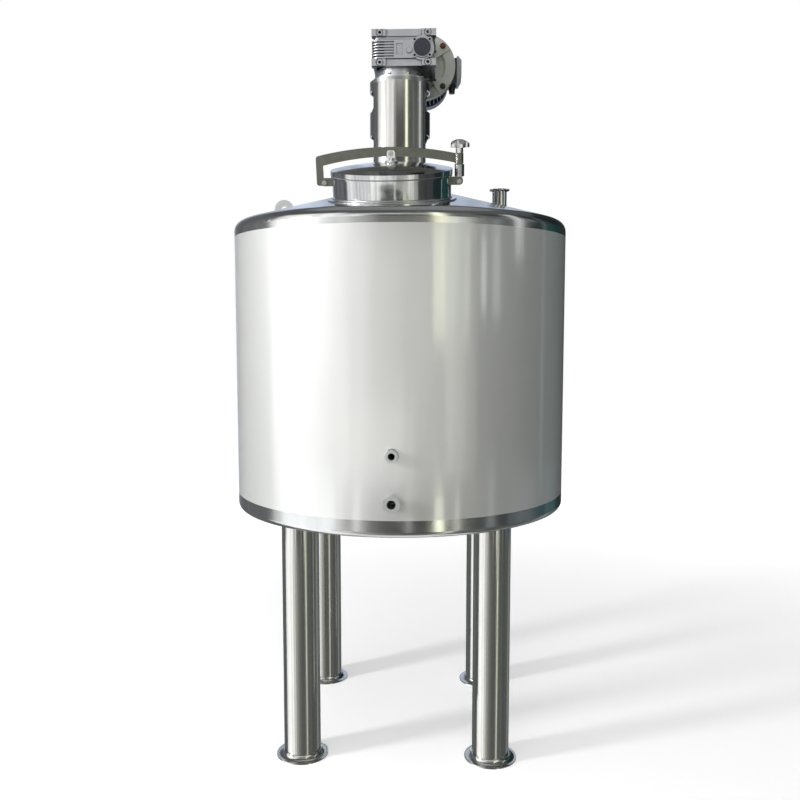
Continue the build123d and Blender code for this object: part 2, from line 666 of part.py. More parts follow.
def star_knob():
    """A lobed hand knob with a domed crown on a round neck."""
    star = Circle(KNOB_R * KNOB_CORE)
    lobe = Pos(KNOB_R * KNOB_LOBE_AT, 0) * Circle(KNOB_R * KNOB_LOBE)
    for index in range(KNOB_LOBES):
        star += Rot(0, 0, 360 / KNOB_LOBES * index) * lobe
    crown_r = KNOB_R * KNOB_DOME
    grip = Pos(0, 0, KNOB_GRIP_Z) * extrude(star, KNOB_GRIP_H)
    grip = grip & (Pos(0, 0, KNOB_TOP - crown_r) * Sphere(crown_r))
    grip += rod(KNOB_NECK_R, KNOB_LOW, KNOB_GRIP_Z + ROD_SINK)
    grip -= rod(ROD_R + PIN_GAP, 0, KNOB_TOP - KNOB_CAP)
    return on_manway(Pos(CLAMP_X, 0, 0) * grip)


def window_cut(low, height):
    """An eight-sided opening through the stand's left and right walls."""
    face = chamfer(Rectangle(WINDOW_W, height).vertices(), WINDOW_CHAMFER)
    return Pos(0, 0, low + height / 2) * extrude(Plane.YZ * face, 2 * STAND_R, both=True)


def drive_stand():
    pipe = tube(STAND_R, STAND_R - STAND_T, top_z(STAND_R) - STAND_R, STAND_TOP_Z)
    pipe = pipe & above_top(SEAT_GAP)
    pipe -= window_cut(STAND_TOP_Z - UPPER_WINDOW_FALL, UPPER_WINDOW_H)
    return pipe - window_cut(top_z(STAND_R) + LOWER_WINDOW_RISE, LOWER_WINDOW_H)


def stand_plate():
    return tube(STAND_R, SHAFT_R + GEAR_FLANGE_T, STAND_TOP_Z, STAND_TOP_Z + STAND_PLATE_T)


def gear_flange():
    """The reducer's output flange with its raised hub."""
    low = STAND_TOP_Z + STAND_PLATE_T
    bore = SHAFT_R + GEAR_FLANGE_T
    return solid_of([
        (bore, low), (GEAR_FLANGE_R, low), (GEAR_FLANGE_R, low + GEAR_FLANGE_T),
        (GEAR_HUB_R, low + GEAR_FLANGE_T), (GEAR_HUB_R, GEAR_LOW_Z), (bore, GEAR_LOW_Z),
    ])


def plan_block(inset, low, high):
    """A slab of the reducer's rounded plan outline between two heights."""
    width = GEAR_LEFT + GEAR_RIGHT - 2 * inset
    face = RectangleRounded(width, 2 * (GEAR_HALF_Y - inset), GEAR_CORNER_R - inset)
    return Pos((GEAR_RIGHT - GEAR_LEFT) / 2, 0, low) * extrude(face, high - low)


def corner_bosses():
    """The eight square bosses at the reducer's corners, and their grooved bolt holes."""
    bosses, holes = [], []
    for low in (GEAR_LOW_Z, GEAR_TOP_Z - GEAR_LEDGE):
        z = low + GEAR_LEDGE / 2
        for way, end in ((1, -GEAR_LEFT), (-1, GEAR_RIGHT)):
            x = end + way * BOSS_HOLE_IN
            for side in (-1, 1):
                face, far = side * GEAR_HALF_Y, side * 2 * GEAR_HALF_Y
                block = Box(BOSS_W, BOSS_D, GEAR_LEDGE)
                bosses.append(Pos(end + way * BOSS_W / 2, face - side * BOSS_D / 2, z) * block)
                groove = face - side * BOSS_RING_D
                holes.append(bar_y(BOSS_RING_R + BOSS_RING_W, groove, far, x, z)
                             - bar_y(BOSS_RING_R, groove, far, x, z))
                holes.append(bar_y(BOSS_HOLE_R, face - side * BOSS_HOLE_H, far, x, z))
    return bosses, holes


def cooling_fins():
    """Thin ribs round the reducer's left end, with a shallow stretch and a flat land after them."""
    high = FIN_LOW_Z + FIN_H
    left = slab_x(-FAR, FIN_RIGHT)
    fins = plan_block(FIN_SHALLOW, FIN_LOW_Z, high) & slab_x(FIN_MIDDLE, FIN_RIGHT)
    fins += plan_block(0, FIN_LOW_Z, high) & slab_x(FIN_RIGHT, WORM_X)
    for index in range(FIN_GROOVES + 1):
        low = FIN_LOW_Z + index * FIN_PITCH
        fins += plan_block(0, low, low + FIN_PITCH - FIN_GROOVE_W) & left
    return fins


def gearbox_housing():
    """Cast worm gear casing: rails, corner bosses, cooling fins, bearing seats and pockets."""
    body = plan_block(GEAR_WALL_IN, GEAR_LOW_Z, GEAR_TOP_Z) + cooling_fins()
    for low in (GEAR_LOW_Z, GEAR_TOP_Z - GEAR_LEDGE):
        body += plan_block(GEAR_RAIL_IN, low, low + GEAR_LEDGE)
    bosses, holes = corner_bosses()
    for boss in bosses:
        body += boss
    body += bar_y(WORM_SEAT_R, -GEAR_HALF_Y, GEAR_HALF_Y, WORM_X, WORM_Z)
    front = -GEAR_HALF_Y
    body += bar_y(PLUG_R, front - PLUG_T, front + GEAR_WALL_IN, PLUG_X, WORM_Z - PLUG_DROP)
    body -= Pos(PANEL_X, front, FIN_LOW_Z + FIN_H / 2) * Box(PANEL_W, 2 * PANEL_D, PANEL_H)
    for low, cover_r in ((GEAR_LOW_Z, GEAR_HUB_R), (GEAR_TOP_Z - POCKET_D, TOP_COVER_R)):
        high = low + POCKET_D
        body -= plan_block(POCKET_IN, low, high) - rod(cover_r + POCKET_LAND, low, high)
    for hole in holes:
        body -= hole
    return body - rod(SHAFT_R + RUN_GAP, GEAR_LOW_Z, GEAR_MID_Z)


def worm_cover():
    """Bearing cover with four screw ears."""
    face = Circle(COVER_R)
    for x in (-1, 1):
        for z in (-1, 1):
            face += Pos(x * COVER_EAR, z * COVER_EAR) * Circle(COVER_EAR_R)
    face -= Circle(CAP_R - CAP_SPIGOT)
    plate = extrude(Plane.XZ * face, COVER_T / 2, both=True)
    return Pos(WORM_X, -GEAR_HALF_Y - COVER_T / 2, WORM_Z) * plate


def worm_cap():
    start = -GEAR_HALF_Y - COVER_T
    cap = bar_y(CAP_R, start - CAP_T, start, WORM_X, WORM_Z)
    return cap + bar_y(CAP_R - CAP_SPIGOT - SEAT_GAP, start, -GEAR_HALF_Y, WORM_X, WORM_Z)


def gear_top_cover():
    high = GEAR_TOP_Z + TOP_COVER_T
    return rod(TOP_COVER_R, GEAR_TOP_Z, high) + rod(TOP_CAP_R, GEAR_TOP_Z, high + TOP_CAP_T)


def input_flange():
    """The reducer's input flange: neck, dished plate and four raised pads for the motor's bolts."""
    face = INPUT_NECK_L
    back = face + FLANGE_T
    plate = solid_of([
        (0, 0), (INPUT_NECK_R, 0), (INPUT_NECK_R, face + DISH_D / 2), (DISH_IN_R, face + DISH_D),
        (DISH_OUT_R - DISH_D, face + DISH_D), (DISH_OUT_R, face), (FLANGE_R, face),
        (FLANGE_R, back), (0, back),
    ])
    half = tan(radians(BOLT_PAD_ANGLE))
    far = FLANGE_R - BOLT_PAD_IN
    wedge = Polygon((0, 0), (far, -far * half), (far, far * half), align=None)
    pad = Pos(0, 0, face - BOLT_PAD_T) * extrude(wedge, back - face + BOLT_PAD_T)
    pad = pad & rod(far, 0, back)
    for index in range(4):
        plate += Rot(0, 0, 90 * index + 45) * pad
    return on_motor(plate)


def motor_flange():
    """The motor's own front flange and the shield behind it."""
    start = INPUT_NECK_L + FLANGE_T
    rim = start + FLANGE_T
    return on_motor(solid_of([
        (0, start), (FLANGE_R, start), (FLANGE_R, rim), (MOTOR_FIN_R - SHIELD_IN, rim + SHIELD_L),
        (0, rim + SHIELD_L),
    ]))


def motor_body():
    """Finned barrel with the end shield that carries the fan cover."""
    end = MOTOR_START + MOTOR_L
    body = rod(MOTOR_R, MOTOR_START, end)
    body += rod(FAN_COVER_R - FAN_COVER_T - SEAT_GAP, end - MOTOR_FIN_END, end)
    depth = MOTOR_FIN_R - MOTOR_R / 2
    length = MOTOR_L - 2 * MOTOR_FIN_END
    fin = Pos(MOTOR_R / 2 + depth / 2, 0, MOTOR_START + length / 2) * Box(depth, MOTOR_FIN_T, length)
    for index in range(MOTOR_FINS):
        body += Rot(0, 0, 360 / MOTOR_FINS * (index + 0.5)) * fin
    return on_motor(body)


def fan_cover():
    """A drawn steel cover with a rounded edge and radial air slots in its end."""
    start = MOTOR_START + MOTOR_L - MOTOR_FIN_END
    end = MOTOR_START + MOTOR_L + FAN_COVER_L
    turn = FAN_COVER_TURN
    inner = FAN_COVER_R - FAN_COVER_T
    bend = turn * cos(radians(45))
    in_turn = turn - FAN_COVER_T
    in_bend = in_turn * cos(radians(45))
    corner = (FAN_COVER_R - turn, end - turn)
    outline = (
        Line((inner, start), (FAN_COVER_R, start)) + Line((FAN_COVER_R, start), (FAN_COVER_R, end - turn))
        + ThreePointArc((FAN_COVER_R, end - turn), (corner[0] + bend, corner[1] + bend), (corner[0], end))
        + Line((corner[0], end), (0, end)) + Line((0, end), (0, end - FAN_COVER_T))
        + Line((0, end - FAN_COVER_T), (corner[0], end - FAN_COVER_T))
        + ThreePointArc((corner[0], end - FAN_COVER_T), (corner[0] + in_bend, corner[1] + in_bend),
                        (inner, end - turn))
        + Line((inner, end - turn), (inner, start))
    )
    cover = revolve(Plane.XZ * make_face(outline), Axis.Z)
    reach = GRILLE_OUT_R - GRILLE_IN_R
    slot = Pos(GRILLE_IN_R + reach / 2, 0, end) * Box(reach, GRILLE_W, 2 * turn)
    for index in range(GRILLE_SLOTS):
        cover -= Rot(0, 0, 360 / GRILLE_SLOTS * index) * slot
    return on_motor(cover)


def along_motor(points, margin=0.0):
    """A block along the terminal box, from an outline of points out and up from the motor's axis."""
    face = Polygon(*points, align=None)
    start = GEAR_HALF_Y + MOTOR_START + BOX_START
    block = extrude(Plane.XZ * face, BOX_L + 2 * margin, dir=(0, 1, 0))
    return Pos(WORM_X, start - margin, WORM_Z) * block


def terminal_box():
    """Cast box that grows from the motor's side and narrows to its underside."""
    seam = BOX_FACE - BOX_LID_T
    foot = MOTOR_R
    block = along_motor([
        (seam, BOX_HIGH - BOX_EDGE), (foot, BOX_SEAT + BOX_EDGE), (foot, -BOX_SEAT),
        (foot + BOX_EDGE, -BOX_FLOOR), (seam - BOX_EDGE, -BOX_FLOOR), (seam, BOX_EDGE - BOX_LOW),
    ])
    start = GEAR_HALF_Y + MOTOR_START
    return block - bar_y(MOTOR_FIN_R + SEAT_GAP, start, start + MOTOR_L, WORM_X, WORM_Z)


def terminal_lid():
    """Lid with bevelled top and a long slope below its flat face."""
    seam = BOX_FACE - BOX_LID_T
    return along_motor([
        (seam, BOX_HIGH), (seam + BOX_EDGE, BOX_HIGH), (BOX_FACE, BOX_FLAT_HIGH), (BOX_FACE, -BOX_FLAT_LOW),
        (seam + BOX_EDGE, -BOX_LOW), (seam, -BOX_LOW),
    ], BOX_LID_OVER)


def cable_gland():
    top = WORM_Z - BOX_FLOOR
    waist = top - GLAND_H * GLAND_NUT
    gland = solid_of([
        (0, top), (GLAND_R, top), (GLAND_R, waist), (GLAND_R - GLAND_TAPER, top - GLAND_H),
        (0, top - GLAND_H),
    ])
    y = GEAR_HALF_Y + MOTOR_START + BOX_START + BOX_L / 4
    return Pos(WORM_X + BOX_FACE - GLAND_IN, y, 0) * gland


def agitator_shaft():
    return rod(SHAFT_R, SEAM_LOW_Z + SHAFT_RISE, GEAR_MID_Z - RUN_GAP)


def shaft_coupling():
    return tube(COUPLING_R, SHAFT_R + SEAT_GAP, COUPLING_LOW_Z, COUPLING_LOW_Z + COUPLING_H)


def seal_housing():
    """Seal body on the cone's centre, with a spigot in the shaft hole."""
    high = top_z(SEAL_R) + SEAL_H
    body = rod(SEAL_R, SEAM_TOP_Z, high) & above_top(SEAT_GAP)
    body += rod(SHAFT_HOLE_R - SEAT_GAP, top_z(0) - SEAL_H, high)
    return body - rod(SHAFT_R + SEAT_GAP, SEAM_LOW_Z, high)


def impeller():
    """Hub with three pitched blades."""
    low = IMPELLER_Z - IMPELLER_HUB_H / 2
    hub = rod(IMPELLER_HUB_R, low, low + IMPELLER_HUB_H)
    reach = IMPELLER_R - IMPELLER_HUB_R + BLADE_ROOT
    blade = Rot(BLADE_PITCH, 0, 0) * Box(reach, BLADE_W, BLADE_T)
    blade = Pos(IMPELLER_R - reach / 2, 0, IMPELLER_Z) * blade
    for index in range(BLADES):
        hub += Rot(0, 0, 360 / BLADES * index) * blade
    return hub - rod(SHAFT_R + SEAT_GAP, low - BLADE_W, low + IMPELLER_HUB_H + BLADE_W)


PARTS = {
    "cladding_shell": cladding_shell,
    "insulation": insulation,
    "vessel_wall": vessel_wall,
    "vessel_floor": vessel_floor,
    "top_head": top_head,
    "bottom_head": bottom_head,
    "bottom_outlet": bottom_outlet,
    "thermometer_socket": thermometer_socket,
    "drain_ferrule": drain_ferrule,
    "vent_ferrule": vent_ferrule,
    "lifting_lug": lifting_lug,
    "legs": legs,
    "feet": feet,
    "manway_neck": manway_neck,
    "manway_pad": manway_pad,
    "lid_gasket": lid_gasket,
    "manway_lid": manway_lid,
    "lid_clevis": lid_clevis,
    "lid_pin": lambda: on_manway(cross_pin(0, CLEVIS_PIN_Z, EAR_NEAR + CLEVIS_CHEEK)),
    "clamp_arm": clamp_arm,
    "clamp_ears": clamp_ears,
    "clamp_pins": clamp_pins,
    "swing_bolt": swing_bolt,
    "star_knob": star_knob,
    "drive_stand": drive_stand,
    "stand_plate": stand_plate,
    "gear_flange": gear_flange,
    "gearbox_housing": gearbox_housing,
    "gear_top_cover": gear_top_cover,
    "worm_cover": worm_cover,
    "worm_cap": worm_cap,
    "input_flange": input_flange,
    "motor_flange": motor_flange,
    "motor_body": motor_body,
    "fan_cover": fan_cover,
    "terminal_box": terminal_box,
    "terminal_lid": terminal_lid,
    "cable_gland": cable_gland,
    "agitator_shaft": agitator_shaft,
    "shaft_coupling": shaft_coupling,
    "seal_housing": seal_housing,
    "impeller": impeller,
}

os.makedirs("parts", exist_ok=True)
for node, make in PARTS.items():
    export_step(make(), f"parts/{node}.step")
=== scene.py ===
import logging
import math
from dataclasses import dataclass, field
from enum import Enum
from functools import lru_cache, partial
from typing import Callable

import bmesh
import bpy
from mathutils import Matrix, Vector


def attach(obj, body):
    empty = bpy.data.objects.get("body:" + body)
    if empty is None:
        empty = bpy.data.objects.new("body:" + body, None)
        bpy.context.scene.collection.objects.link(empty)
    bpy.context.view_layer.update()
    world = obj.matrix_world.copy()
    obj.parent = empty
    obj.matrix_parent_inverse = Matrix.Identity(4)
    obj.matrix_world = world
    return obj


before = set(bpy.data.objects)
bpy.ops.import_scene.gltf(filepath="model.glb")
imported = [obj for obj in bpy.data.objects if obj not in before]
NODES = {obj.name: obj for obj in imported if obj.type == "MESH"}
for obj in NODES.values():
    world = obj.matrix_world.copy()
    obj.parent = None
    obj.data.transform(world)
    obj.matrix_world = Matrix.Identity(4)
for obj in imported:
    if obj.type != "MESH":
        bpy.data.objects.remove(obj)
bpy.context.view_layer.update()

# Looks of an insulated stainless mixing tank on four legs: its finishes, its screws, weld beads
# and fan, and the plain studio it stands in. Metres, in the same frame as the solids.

LOG = logging.getLogger("mixing_tank")
MM = 0.001
FULL_TURN = 2 * math.pi

Pair = tuple[float, float]
Material = bpy.types.Material
Mesh = bpy.types.Mesh
Node = bpy.types.Node
Shape = bmesh.types.BMesh
Socket = bpy.types.NodeSocket
Thing = bpy.types.Object
Tree = bpy.types.NodeTree
Line = tuple[list[Vector], bool]    # points in metres, and whether the line closes
Spot = tuple[Vector, Vector]        # a place in metres and the axis of what stands there


# ---- small tools


def circle(count: int, first: float = 0.0) -> list[Pair]:
    """Gives evenly spaced points on a circle of radius 1, from a first angle in radians."""
    turns = [first + FULL_TURN * i / count for i in range(count)]
    return [(math.cos(turn), math.sin(turn)) for turn in turns]


def facing(axis: Vector, spot: Vector) -> Matrix:
    """Gives the place that turns local Z to an axis and moves to a spot."""
    return Matrix.Translation(spot) @ axis.to_track_quat("Z", "Y").to_matrix().to_4x4()


def linked(name: str, data: bpy.types.ID) -> Thing:
    """Makes an object of a mesh, lamp or camera and puts it in the scene."""
    thing = bpy.data.objects.new(name, data)
    bpy.context.scene.collection.objects.link(thing)
    return thing


def mesh_from(name: str, make: Callable[[Shape], None]) -> Mesh:
    """Runs mesh code on an empty mesh, closes it with outward faces and gives it."""
    shape = bmesh.new()
    make(shape)
    bmesh.ops.remove_doubles(shape, verts=shape.verts, dist=1e-6)
    bmesh.ops.recalc_face_normals(shape, faces=shape.faces)
    mesh = bpy.data.meshes.new(name)
    shape.to_mesh(mesh)
    shape.free()
    return mesh


def lathe(shape: Shape, outline: list[Pair], steps: int, place: Matrix) -> None:
    """Turns an open outline that starts and ends on the axis into a closed round solid.

    Args:
        shape: receives the faces.
        outline: (radius, height) points in millimetres.
        steps: number of sides.
        place: where it goes, in metres.
    """
    rings = []
    for radius, height in outline:
        spots = circle(steps) if radius else [(0, 0)]
        rings.append([shape.verts.new(place @ Vector((radius * MM * x, radius * MM * y, height * MM)))
                      for x, y in spots])
    for one, two in zip(rings, rings[1:]):
        for i in range(steps):
            j = (i + 1) % steps
            corners = [one[i % len(one)], one[j % len(one)], two[j % len(two)], two[i % len(two)]]
            shape.faces.new(list(dict.fromkeys(corners)))


# ---- nodes


def linear(tone: str) -> tuple[float, float, float, float]:
    """Turns an sRGB hex colour into the linear colour a shader takes, with an alpha of 1."""
    parts = [int(tone[i:i + 2], 16) / 255 for i in (1, 3, 5)]
    red, green, blue = [p / 12.92 if p <= 0.04045 else ((p + 0.055) / 1.055) ** 2.4 for p in parts]
    return red, green, blue, 1.0


def add_node(tree: Tree, kind: str, inputs: dict | None = None, **settings: object) -> Node:
    """Adds a node with its settings and its inputs.

    Args:
        tree: the tree it goes into.
        kind: Blender's name of the node type.
        inputs: input name or number to a value, or to the output socket that feeds it.
        settings: the node's own properties.

    Returns:
        The new node.
    """
    node = tree.nodes.new(kind)
    for name, value in settings.items():
        setattr(node, name, value)
    for name, value in (inputs or {}).items():
        if isinstance(value, Socket):
            tree.links.new(value, node.inputs[name])
        else:
            node.inputs[name].default_value = value
    return node


def blank_material(name: str) -> tuple[Material, Tree, Socket]:
    """Makes a material with an empty tree and gives both, and object coordinates in the tree."""
    material = bpy.data.materials.new(name)
    material.use_nodes = True
    tree = material.node_tree
    tree.nodes.clear()
    return material, tree, add_node(tree, "ShaderNodeTexCoord").outputs["Object"]


def maths(tree: Tree, operation: str, *values: float | Socket) -> Socket:
    """Adds a sum on numbers and gives its result."""
    return add_node(tree, "ShaderNodeMath", dict(enumerate(values)), operation=operation).outputs[0]


def vector_maths(tree: Tree, operation: str, *values: tuple | Socket) -> Socket:
    """Adds a sum on vectors and gives its result."""
    node = add_node(tree, "ShaderNodeVectorMath", dict(enumerate(values)), operation=operation)
    return node.outputs["Value" if operation == "LENGTH" else "Vector"]


def noise(tree: Tree, place: Socket, scale: float, detail: float, roughness: float = 0.5,
          distortion: float = 0.0) -> Socket:
    """Adds noise over a place, scale in lumps per metre, and gives its grey value."""
    return add_node(tree, "ShaderNodeTexNoise", {
        "Vector": place, "Scale": scale, "Detail": detail, "Roughness": roughness,
        "Distortion": distortion}).outputs["Fac"]


def spread_over(tree: Tree, value: Socket, source: Pair, target: Pair,
                curve: str = "LINEAR") -> Socket:
    """Maps a value from one range to another, held at its ends, and gives the result."""
    return add_node(tree, "ShaderNodeMapRange", {
        "Value": value, "From Min": source[0], "From Max": source[1],
        "To Min": target[0], "To Max": target[1]}, interpolation_type=curve).outputs["Result"]


def mixed(tree: Tree, share: Socket, one: tuple | Socket, two: tuple | Socket) -> Socket:
    """Mixes two colours by a share and gives the result."""
    return add_node(tree, "ShaderNodeMix", {"Factor": share, 6: one, 7: two}, data_type="RGBA").outputs[2]


def bumped(tree: Tree, height: Socket, strength: float, depth: float, under: Socket | None = None) -> Socket:
    """Adds a bump, depth in millimetres, over another normal if there is one, and gives the normal."""
    inputs = {"Strength": strength, "Distance": depth * MM, "Height": height}
    if under is not None:
        inputs["Normal"] = under
    return add_node(tree, "ShaderNodeBump", inputs).outputs[0]


# ---- finishes


class Lay(Enum):
    """The way the grinding lines of a steel surface run."""

    AROUND_TANK = "rings about the tank's axis"
    AROUND_NECK = "rings about the tilted neck"
    AROUND_PIPE = "rings about an upright pipe"
    NONE = "no lines"


@dataclass(frozen=True)
class Finish:
    """A surface as the shader's starting values; each kind of finish adds its own pattern.

    tone and second are the two hex colours that its clouding moves between, and cloud is the size
    of that clouding in millimetres.
    """

    name: str
    tone: str
    second: str
    metallic: float
    roughness: float
    spread: float = 0.04
    cloud: float = 90.0
    coat: float = 0.0
    coat_roughness: float = 0.1
    coat_ior: float = 1.5
    anisotropy: float = 0.0
    specular: float = 0.5

    def material(self) -> Material:
        """Gives the finish's material, made once."""
        return built(self)

    def pattern(self, tree: Tree, place: Socket, shader: Node) -> None:
        """Adds what only this kind of finish shows; the plain finish has clouding alone.

        Args:
            tree: the material's tree.
            place: object coordinates.
            shader: the shader that takes the normal, the tangent and the soiled colour.
        """

    def build(self) -> Material:
        """Builds the node tree and gives the material."""
        material, tree, place = blank_material(self.name)
        clouds = noise(tree, place, 1000 / self.cloud, 3.0, 0.55)
        tones = mixed(tree, clouds, linear(self.tone), linear(self.second))
        rough = spread_over(tree, clouds, (0.3, 0.7), (
            self.roughness - self.spread, self.roughness + self.spread))
        shader = add_node(tree, "ShaderNodeBsdfPrincipled", {
            "Base Color": tones, "Metallic": self.metallic, "Roughness": rough,
            "Specular IOR Level": self.specular, "Anisotropic": self.anisotropy,
            "Coat Weight": self.coat, "Coat Roughness": self.coat_roughness, "Coat IOR": self.coat_ior})
        self.pattern(tree, place, shader)
        add_node(tree, "ShaderNodeOutputMaterial", {"Surface": shader.outputs[0]})
        return material


@lru_cache(maxsize=None)
def built(finish: Finish) -> Material:
    """Builds a finish's material once and gives the same one afterwards."""
    return finish.build()


@dataclass(frozen=True)
class Steel(Finish):
    """Ground or polished stainless: fine lines that follow how it was turned, and slight waviness.

    line is the spacing of the drawn lines in millimetres, coarser than real grit so that it shows,
    stretch how many times longer they are, depth their height, wave the height of the sheet's
    waviness, wave_size its length and tilt how far the neck leans in degrees.
    """

    lay: Lay = Lay.NONE
    line: float = 2.4
    stretch: float = 60.0
    depth: float = 0.02
    wave: float = 0.0
    wave_size: float = 70.0
    tilt: float = 0.0

    def drawn(self, tree: Tree, place: Socket) -> Socket:
        """Stretches the coordinates along the grinding lines.

        Args:
            tree: the material's tree.
            place: object coordinates.

        Returns:
            Coordinates that count lines.
        """
        across = 1000 / self.line
        along = across / self.stretch
        if self.lay is Lay.NONE:
            scale = (across, across, across)
        elif self.lay is Lay.AROUND_TANK:
            parts = add_node(tree, "ShaderNodeSeparateXYZ", {0: place}).outputs
            radius = vector_maths(tree, "LENGTH", vector_maths(tree, "MULTIPLY", place, (1, 1, 0)))
            place = add_node(tree, "ShaderNodeCombineXYZ", {
                "X": radius, "Y": parts["X"], "Z": parts["Z"]}).outputs[0]
            scale = (across, along, across)
        else:
            scale = (along, along, across)
            if self.lay is Lay.AROUND_NECK:
                place = add_node(tree, "ShaderNodeMapping", {
                    "Vector": place, "Rotation": (-math.radians(self.tilt), 0, 0)}).outputs[0]
        return vector_maths(tree, "MULTIPLY", place, scale)

    def pattern(self, tree: Tree, place: Socket, shader: Node) -> None:
        """Adds grinding lines along the lay, and waviness under them."""
        sheet = None
        if self.wave:
            sheet = bumped(tree, noise(tree, place, 1000 / self.wave_size, 1.0), 1.0, self.wave)
        grit = noise(tree, self.drawn(tree, place), 1.0, 4.0, 0.6)
        tree.links.new(bumped(tree, grit, 0.5, self.depth, sheet), shader.inputs["Normal"])
        if self.anisotropy:
            tangent = add_node(tree, "ShaderNodeTangent", direction_type="RADIAL", axis="Z")
            tree.links.new(tangent.outputs[0], shader.inputs["Tangent"])


@dataclass(frozen=True)
class Casting(Finish):
    """Cast or die-cast metal, bare or painted: a grainy skin and softened edges.

    grain is the size of the skin's lumps in millimetres, depth their height and edge the radius
    that the light sees on its edges. The fields after edge paint shade into the colour: how dark it
    lies in corners and grooves, corner how far it reaches out of them, how dark it lies on faces
    that look down, and the two tones of that painted shade.
    """

    grain: float = 2.5
    depth: float = 0.12
    edge: float = 0.8
    grime: float = 0.0
    corner: float = 9.0
    film: float = 0.0
    dust: str = "#1C2026"
    oil: str = "#14171C"

    @staticmethod
    def soil(tree: Tree, shader: Node, share: Socket, tone: str) -> None:
        """Mixes painted shade into the shader's colour by a share of 0 to 1."""
        paint = shader.inputs["Base Color"]
        tree.links.new(mixed(tree, share, paint.links[0].from_socket, linear(tone)), paint)

    def pattern(self, tree: Tree, place: Socket, shader: Node) -> None:
        """Adds painted shade in corners and on faces that look down, and the cast skin over rounded edges."""
        # painted shade: darkens the colour where ambient occlusion finds corners and grooves
        if self.grime:
            corners = add_node(tree, "ShaderNodeAmbientOcclusion", {"Distance": self.corner * MM},
                               samples=8, only_local=True)
            share = spread_over(tree, corners.outputs["AO"], (0.4, 0.92), (self.grime, 0.0))
            self.soil(tree, shader, share, self.dust)
        # painted shade: darkens the colour on faces that look down
        if self.film:
            normal = add_node(tree, "ShaderNodeNewGeometry").outputs["True Normal"]
            level = add_node(tree, "ShaderNodeSeparateXYZ", {0: normal}).outputs["Z"]
            self.soil(tree, shader, spread_over(tree, level, (-0.5, -0.85), (0.0, self.film)), self.oil)
        edges = add_node(tree, "ShaderNodeBevel", {"Radius": self.edge * MM}, samples=4)
        lumps = noise(tree, place, 1000 / self.grain, 3.0, 0.65)
        tree.links.new(bumped(tree, lumps, 0.6, self.depth, edges.outputs[0]), shader.inputs["Normal"])


@dataclass(frozen=True)
class Fibre(Finish):
    """Pressed mineral wool: short crossing strands and a loose, dull surface."""

    strand: float = 6.0
    loose: float = 1.5

    def pattern(self, tree: Tree, place: Socket, shader: Node) -> None:
        """Adds the felted strands."""
        strands = noise(tree, place, 1000 / self.strand, 6.0, 0.8, 2.0)
        tree.links.new(bumped(tree, strands, 0.8, self.loose), shader.inputs["Normal"])


# Bead-blasted stainless sheet, ground once round: pale and nearly even, shadows show on it, and lamps
# stand in it as long soft upright bands.
MATT_SHEET = Steel("matt_stainless_sheet", "#D6D7D5", "#CFD0CE", 0.4, 0.6, spread=0.02, cloud=260.0,
                   coat=1.0, coat_roughness=0.13, coat_ior=2.5, lay=Lay.AROUND_TANK, line=3.0, depth=0.02,
                   wave=0.5, wave_size=420.0)
# Heads pressed and buffed bright: blurred mirror with faint rings.
BRIGHT_HEAD = Steel("buffed_stainless_head", "#D2D3D3", "#C8C9C8", 1.0, 0.17, spread=0.03, cloud=120.0,
                    anisotropy=0.35, lay=Lay.AROUND_TANK, line=2.0, depth=0.012, wave=0.35, wave_size=160.0)
# Neck, lid and their trim, buffed on a lathe: sharp upright streaks.
BRIGHT_NECK = Steel("buffed_stainless_neck", "#DADBDC", "#CFD1D2", 1.0, 0.1, spread=0.03, cloud=60.0,
                    lay=Lay.AROUND_NECK, line=1.8, depth=0.012, wave=0.45, wave_size=45.0, tilt=15.2)
# Faces of the two ports, turned and left satin: an even bright ring round the dark bore.
TURNED_FACE = Steel("turned_stainless_face", "#E4E6E7", "#DADCDD", 1.0, 0.4, spread=0.03, cloud=30.0,
                    line=0.8, depth=0.008)
# Drawn tube of the legs and the stand, polished lengthwise by belt: upright streaks with a slight wobble.
BRIGHT_TUBE = Steel("belt_polished_stainless_tube", "#CFCFCC", "#C4C4C0", 1.0, 0.16, spread=0.03, cloud=110.0,
                    lay=Lay.AROUND_PIPE, line=2.2, depth=0.012, wave=0.35, wave_size=150.0)
# Mill-finished plate and bar inside and under the tank: even grey, no shine.
MILL_STEEL = Steel("mill_finish_stainless", "#B9BBBB", "#AEB0B0", 1.0, 0.32, cloud=70.0, line=2.4, depth=0.02)
# Laser-cut clamp bar, pickled and hand-brushed: dark, olive, satin.
CLAMP_BAR = Steel("pickled_stainless_bar", "#83847C", "#6B6C64", 1.0, 0.32, spread=0.06, cloud=30.0, line=1.6,
                  depth=0.03, wave=0.2, wave_size=40.0)
# Turned bolt steel, zinc bright: clear small highlights.
BOLT_STEEL = Steel("bright_bolt_steel", "#BFC1C2", "#AFB1B1", 1.0, 0.2, cloud=20.0, line=1.2, depth=0.01)
# Chromed cast knob: dark and light patches with crisp edges.
CHROME = Casting("chromed_casting", "#D9DADB", "#CFD0D1", 1.0, 0.07, spread=0.02, cloud=25.0, grain=6.0,
                 depth=0.03, edge=1.2)
# Bare die-cast aluminium of the reducer: bright, fine-grained and soft-edged, painted shade in corners and
# below.
CAST_ALUMINIUM = Casting("bare_diecast_aluminium", "#DCDEE2", "#C6C9CF", 0.85, 0.34, spread=0.06, cloud=30.0,
                         grain=2.2, depth=0.14, edge=1.0, grime=0.9, film=0.92)
# Sprayed flange casting between the reducer and the motor: pale grey with a trace of green.
GREY_PAINT = Casting("pale_grey_machine_paint", "#B9BDB4", "#ADB2A8", 0.25, 0.42, spread=0.05, cloud=50.0,
                     grain=2.0, depth=0.08, edge=1.0)
# Motor's dark blue-grey machine paint: half gloss with orange peel.
MOTOR_PAINT = Casting("dark_grey_machine_paint", "#30353B", "#292E34", 0.1, 0.38, spread=0.05, cloud=60.0,
                      coat=0.2, coat_roughness=0.2, grain=2.4, depth=0.08, edge=0.8)
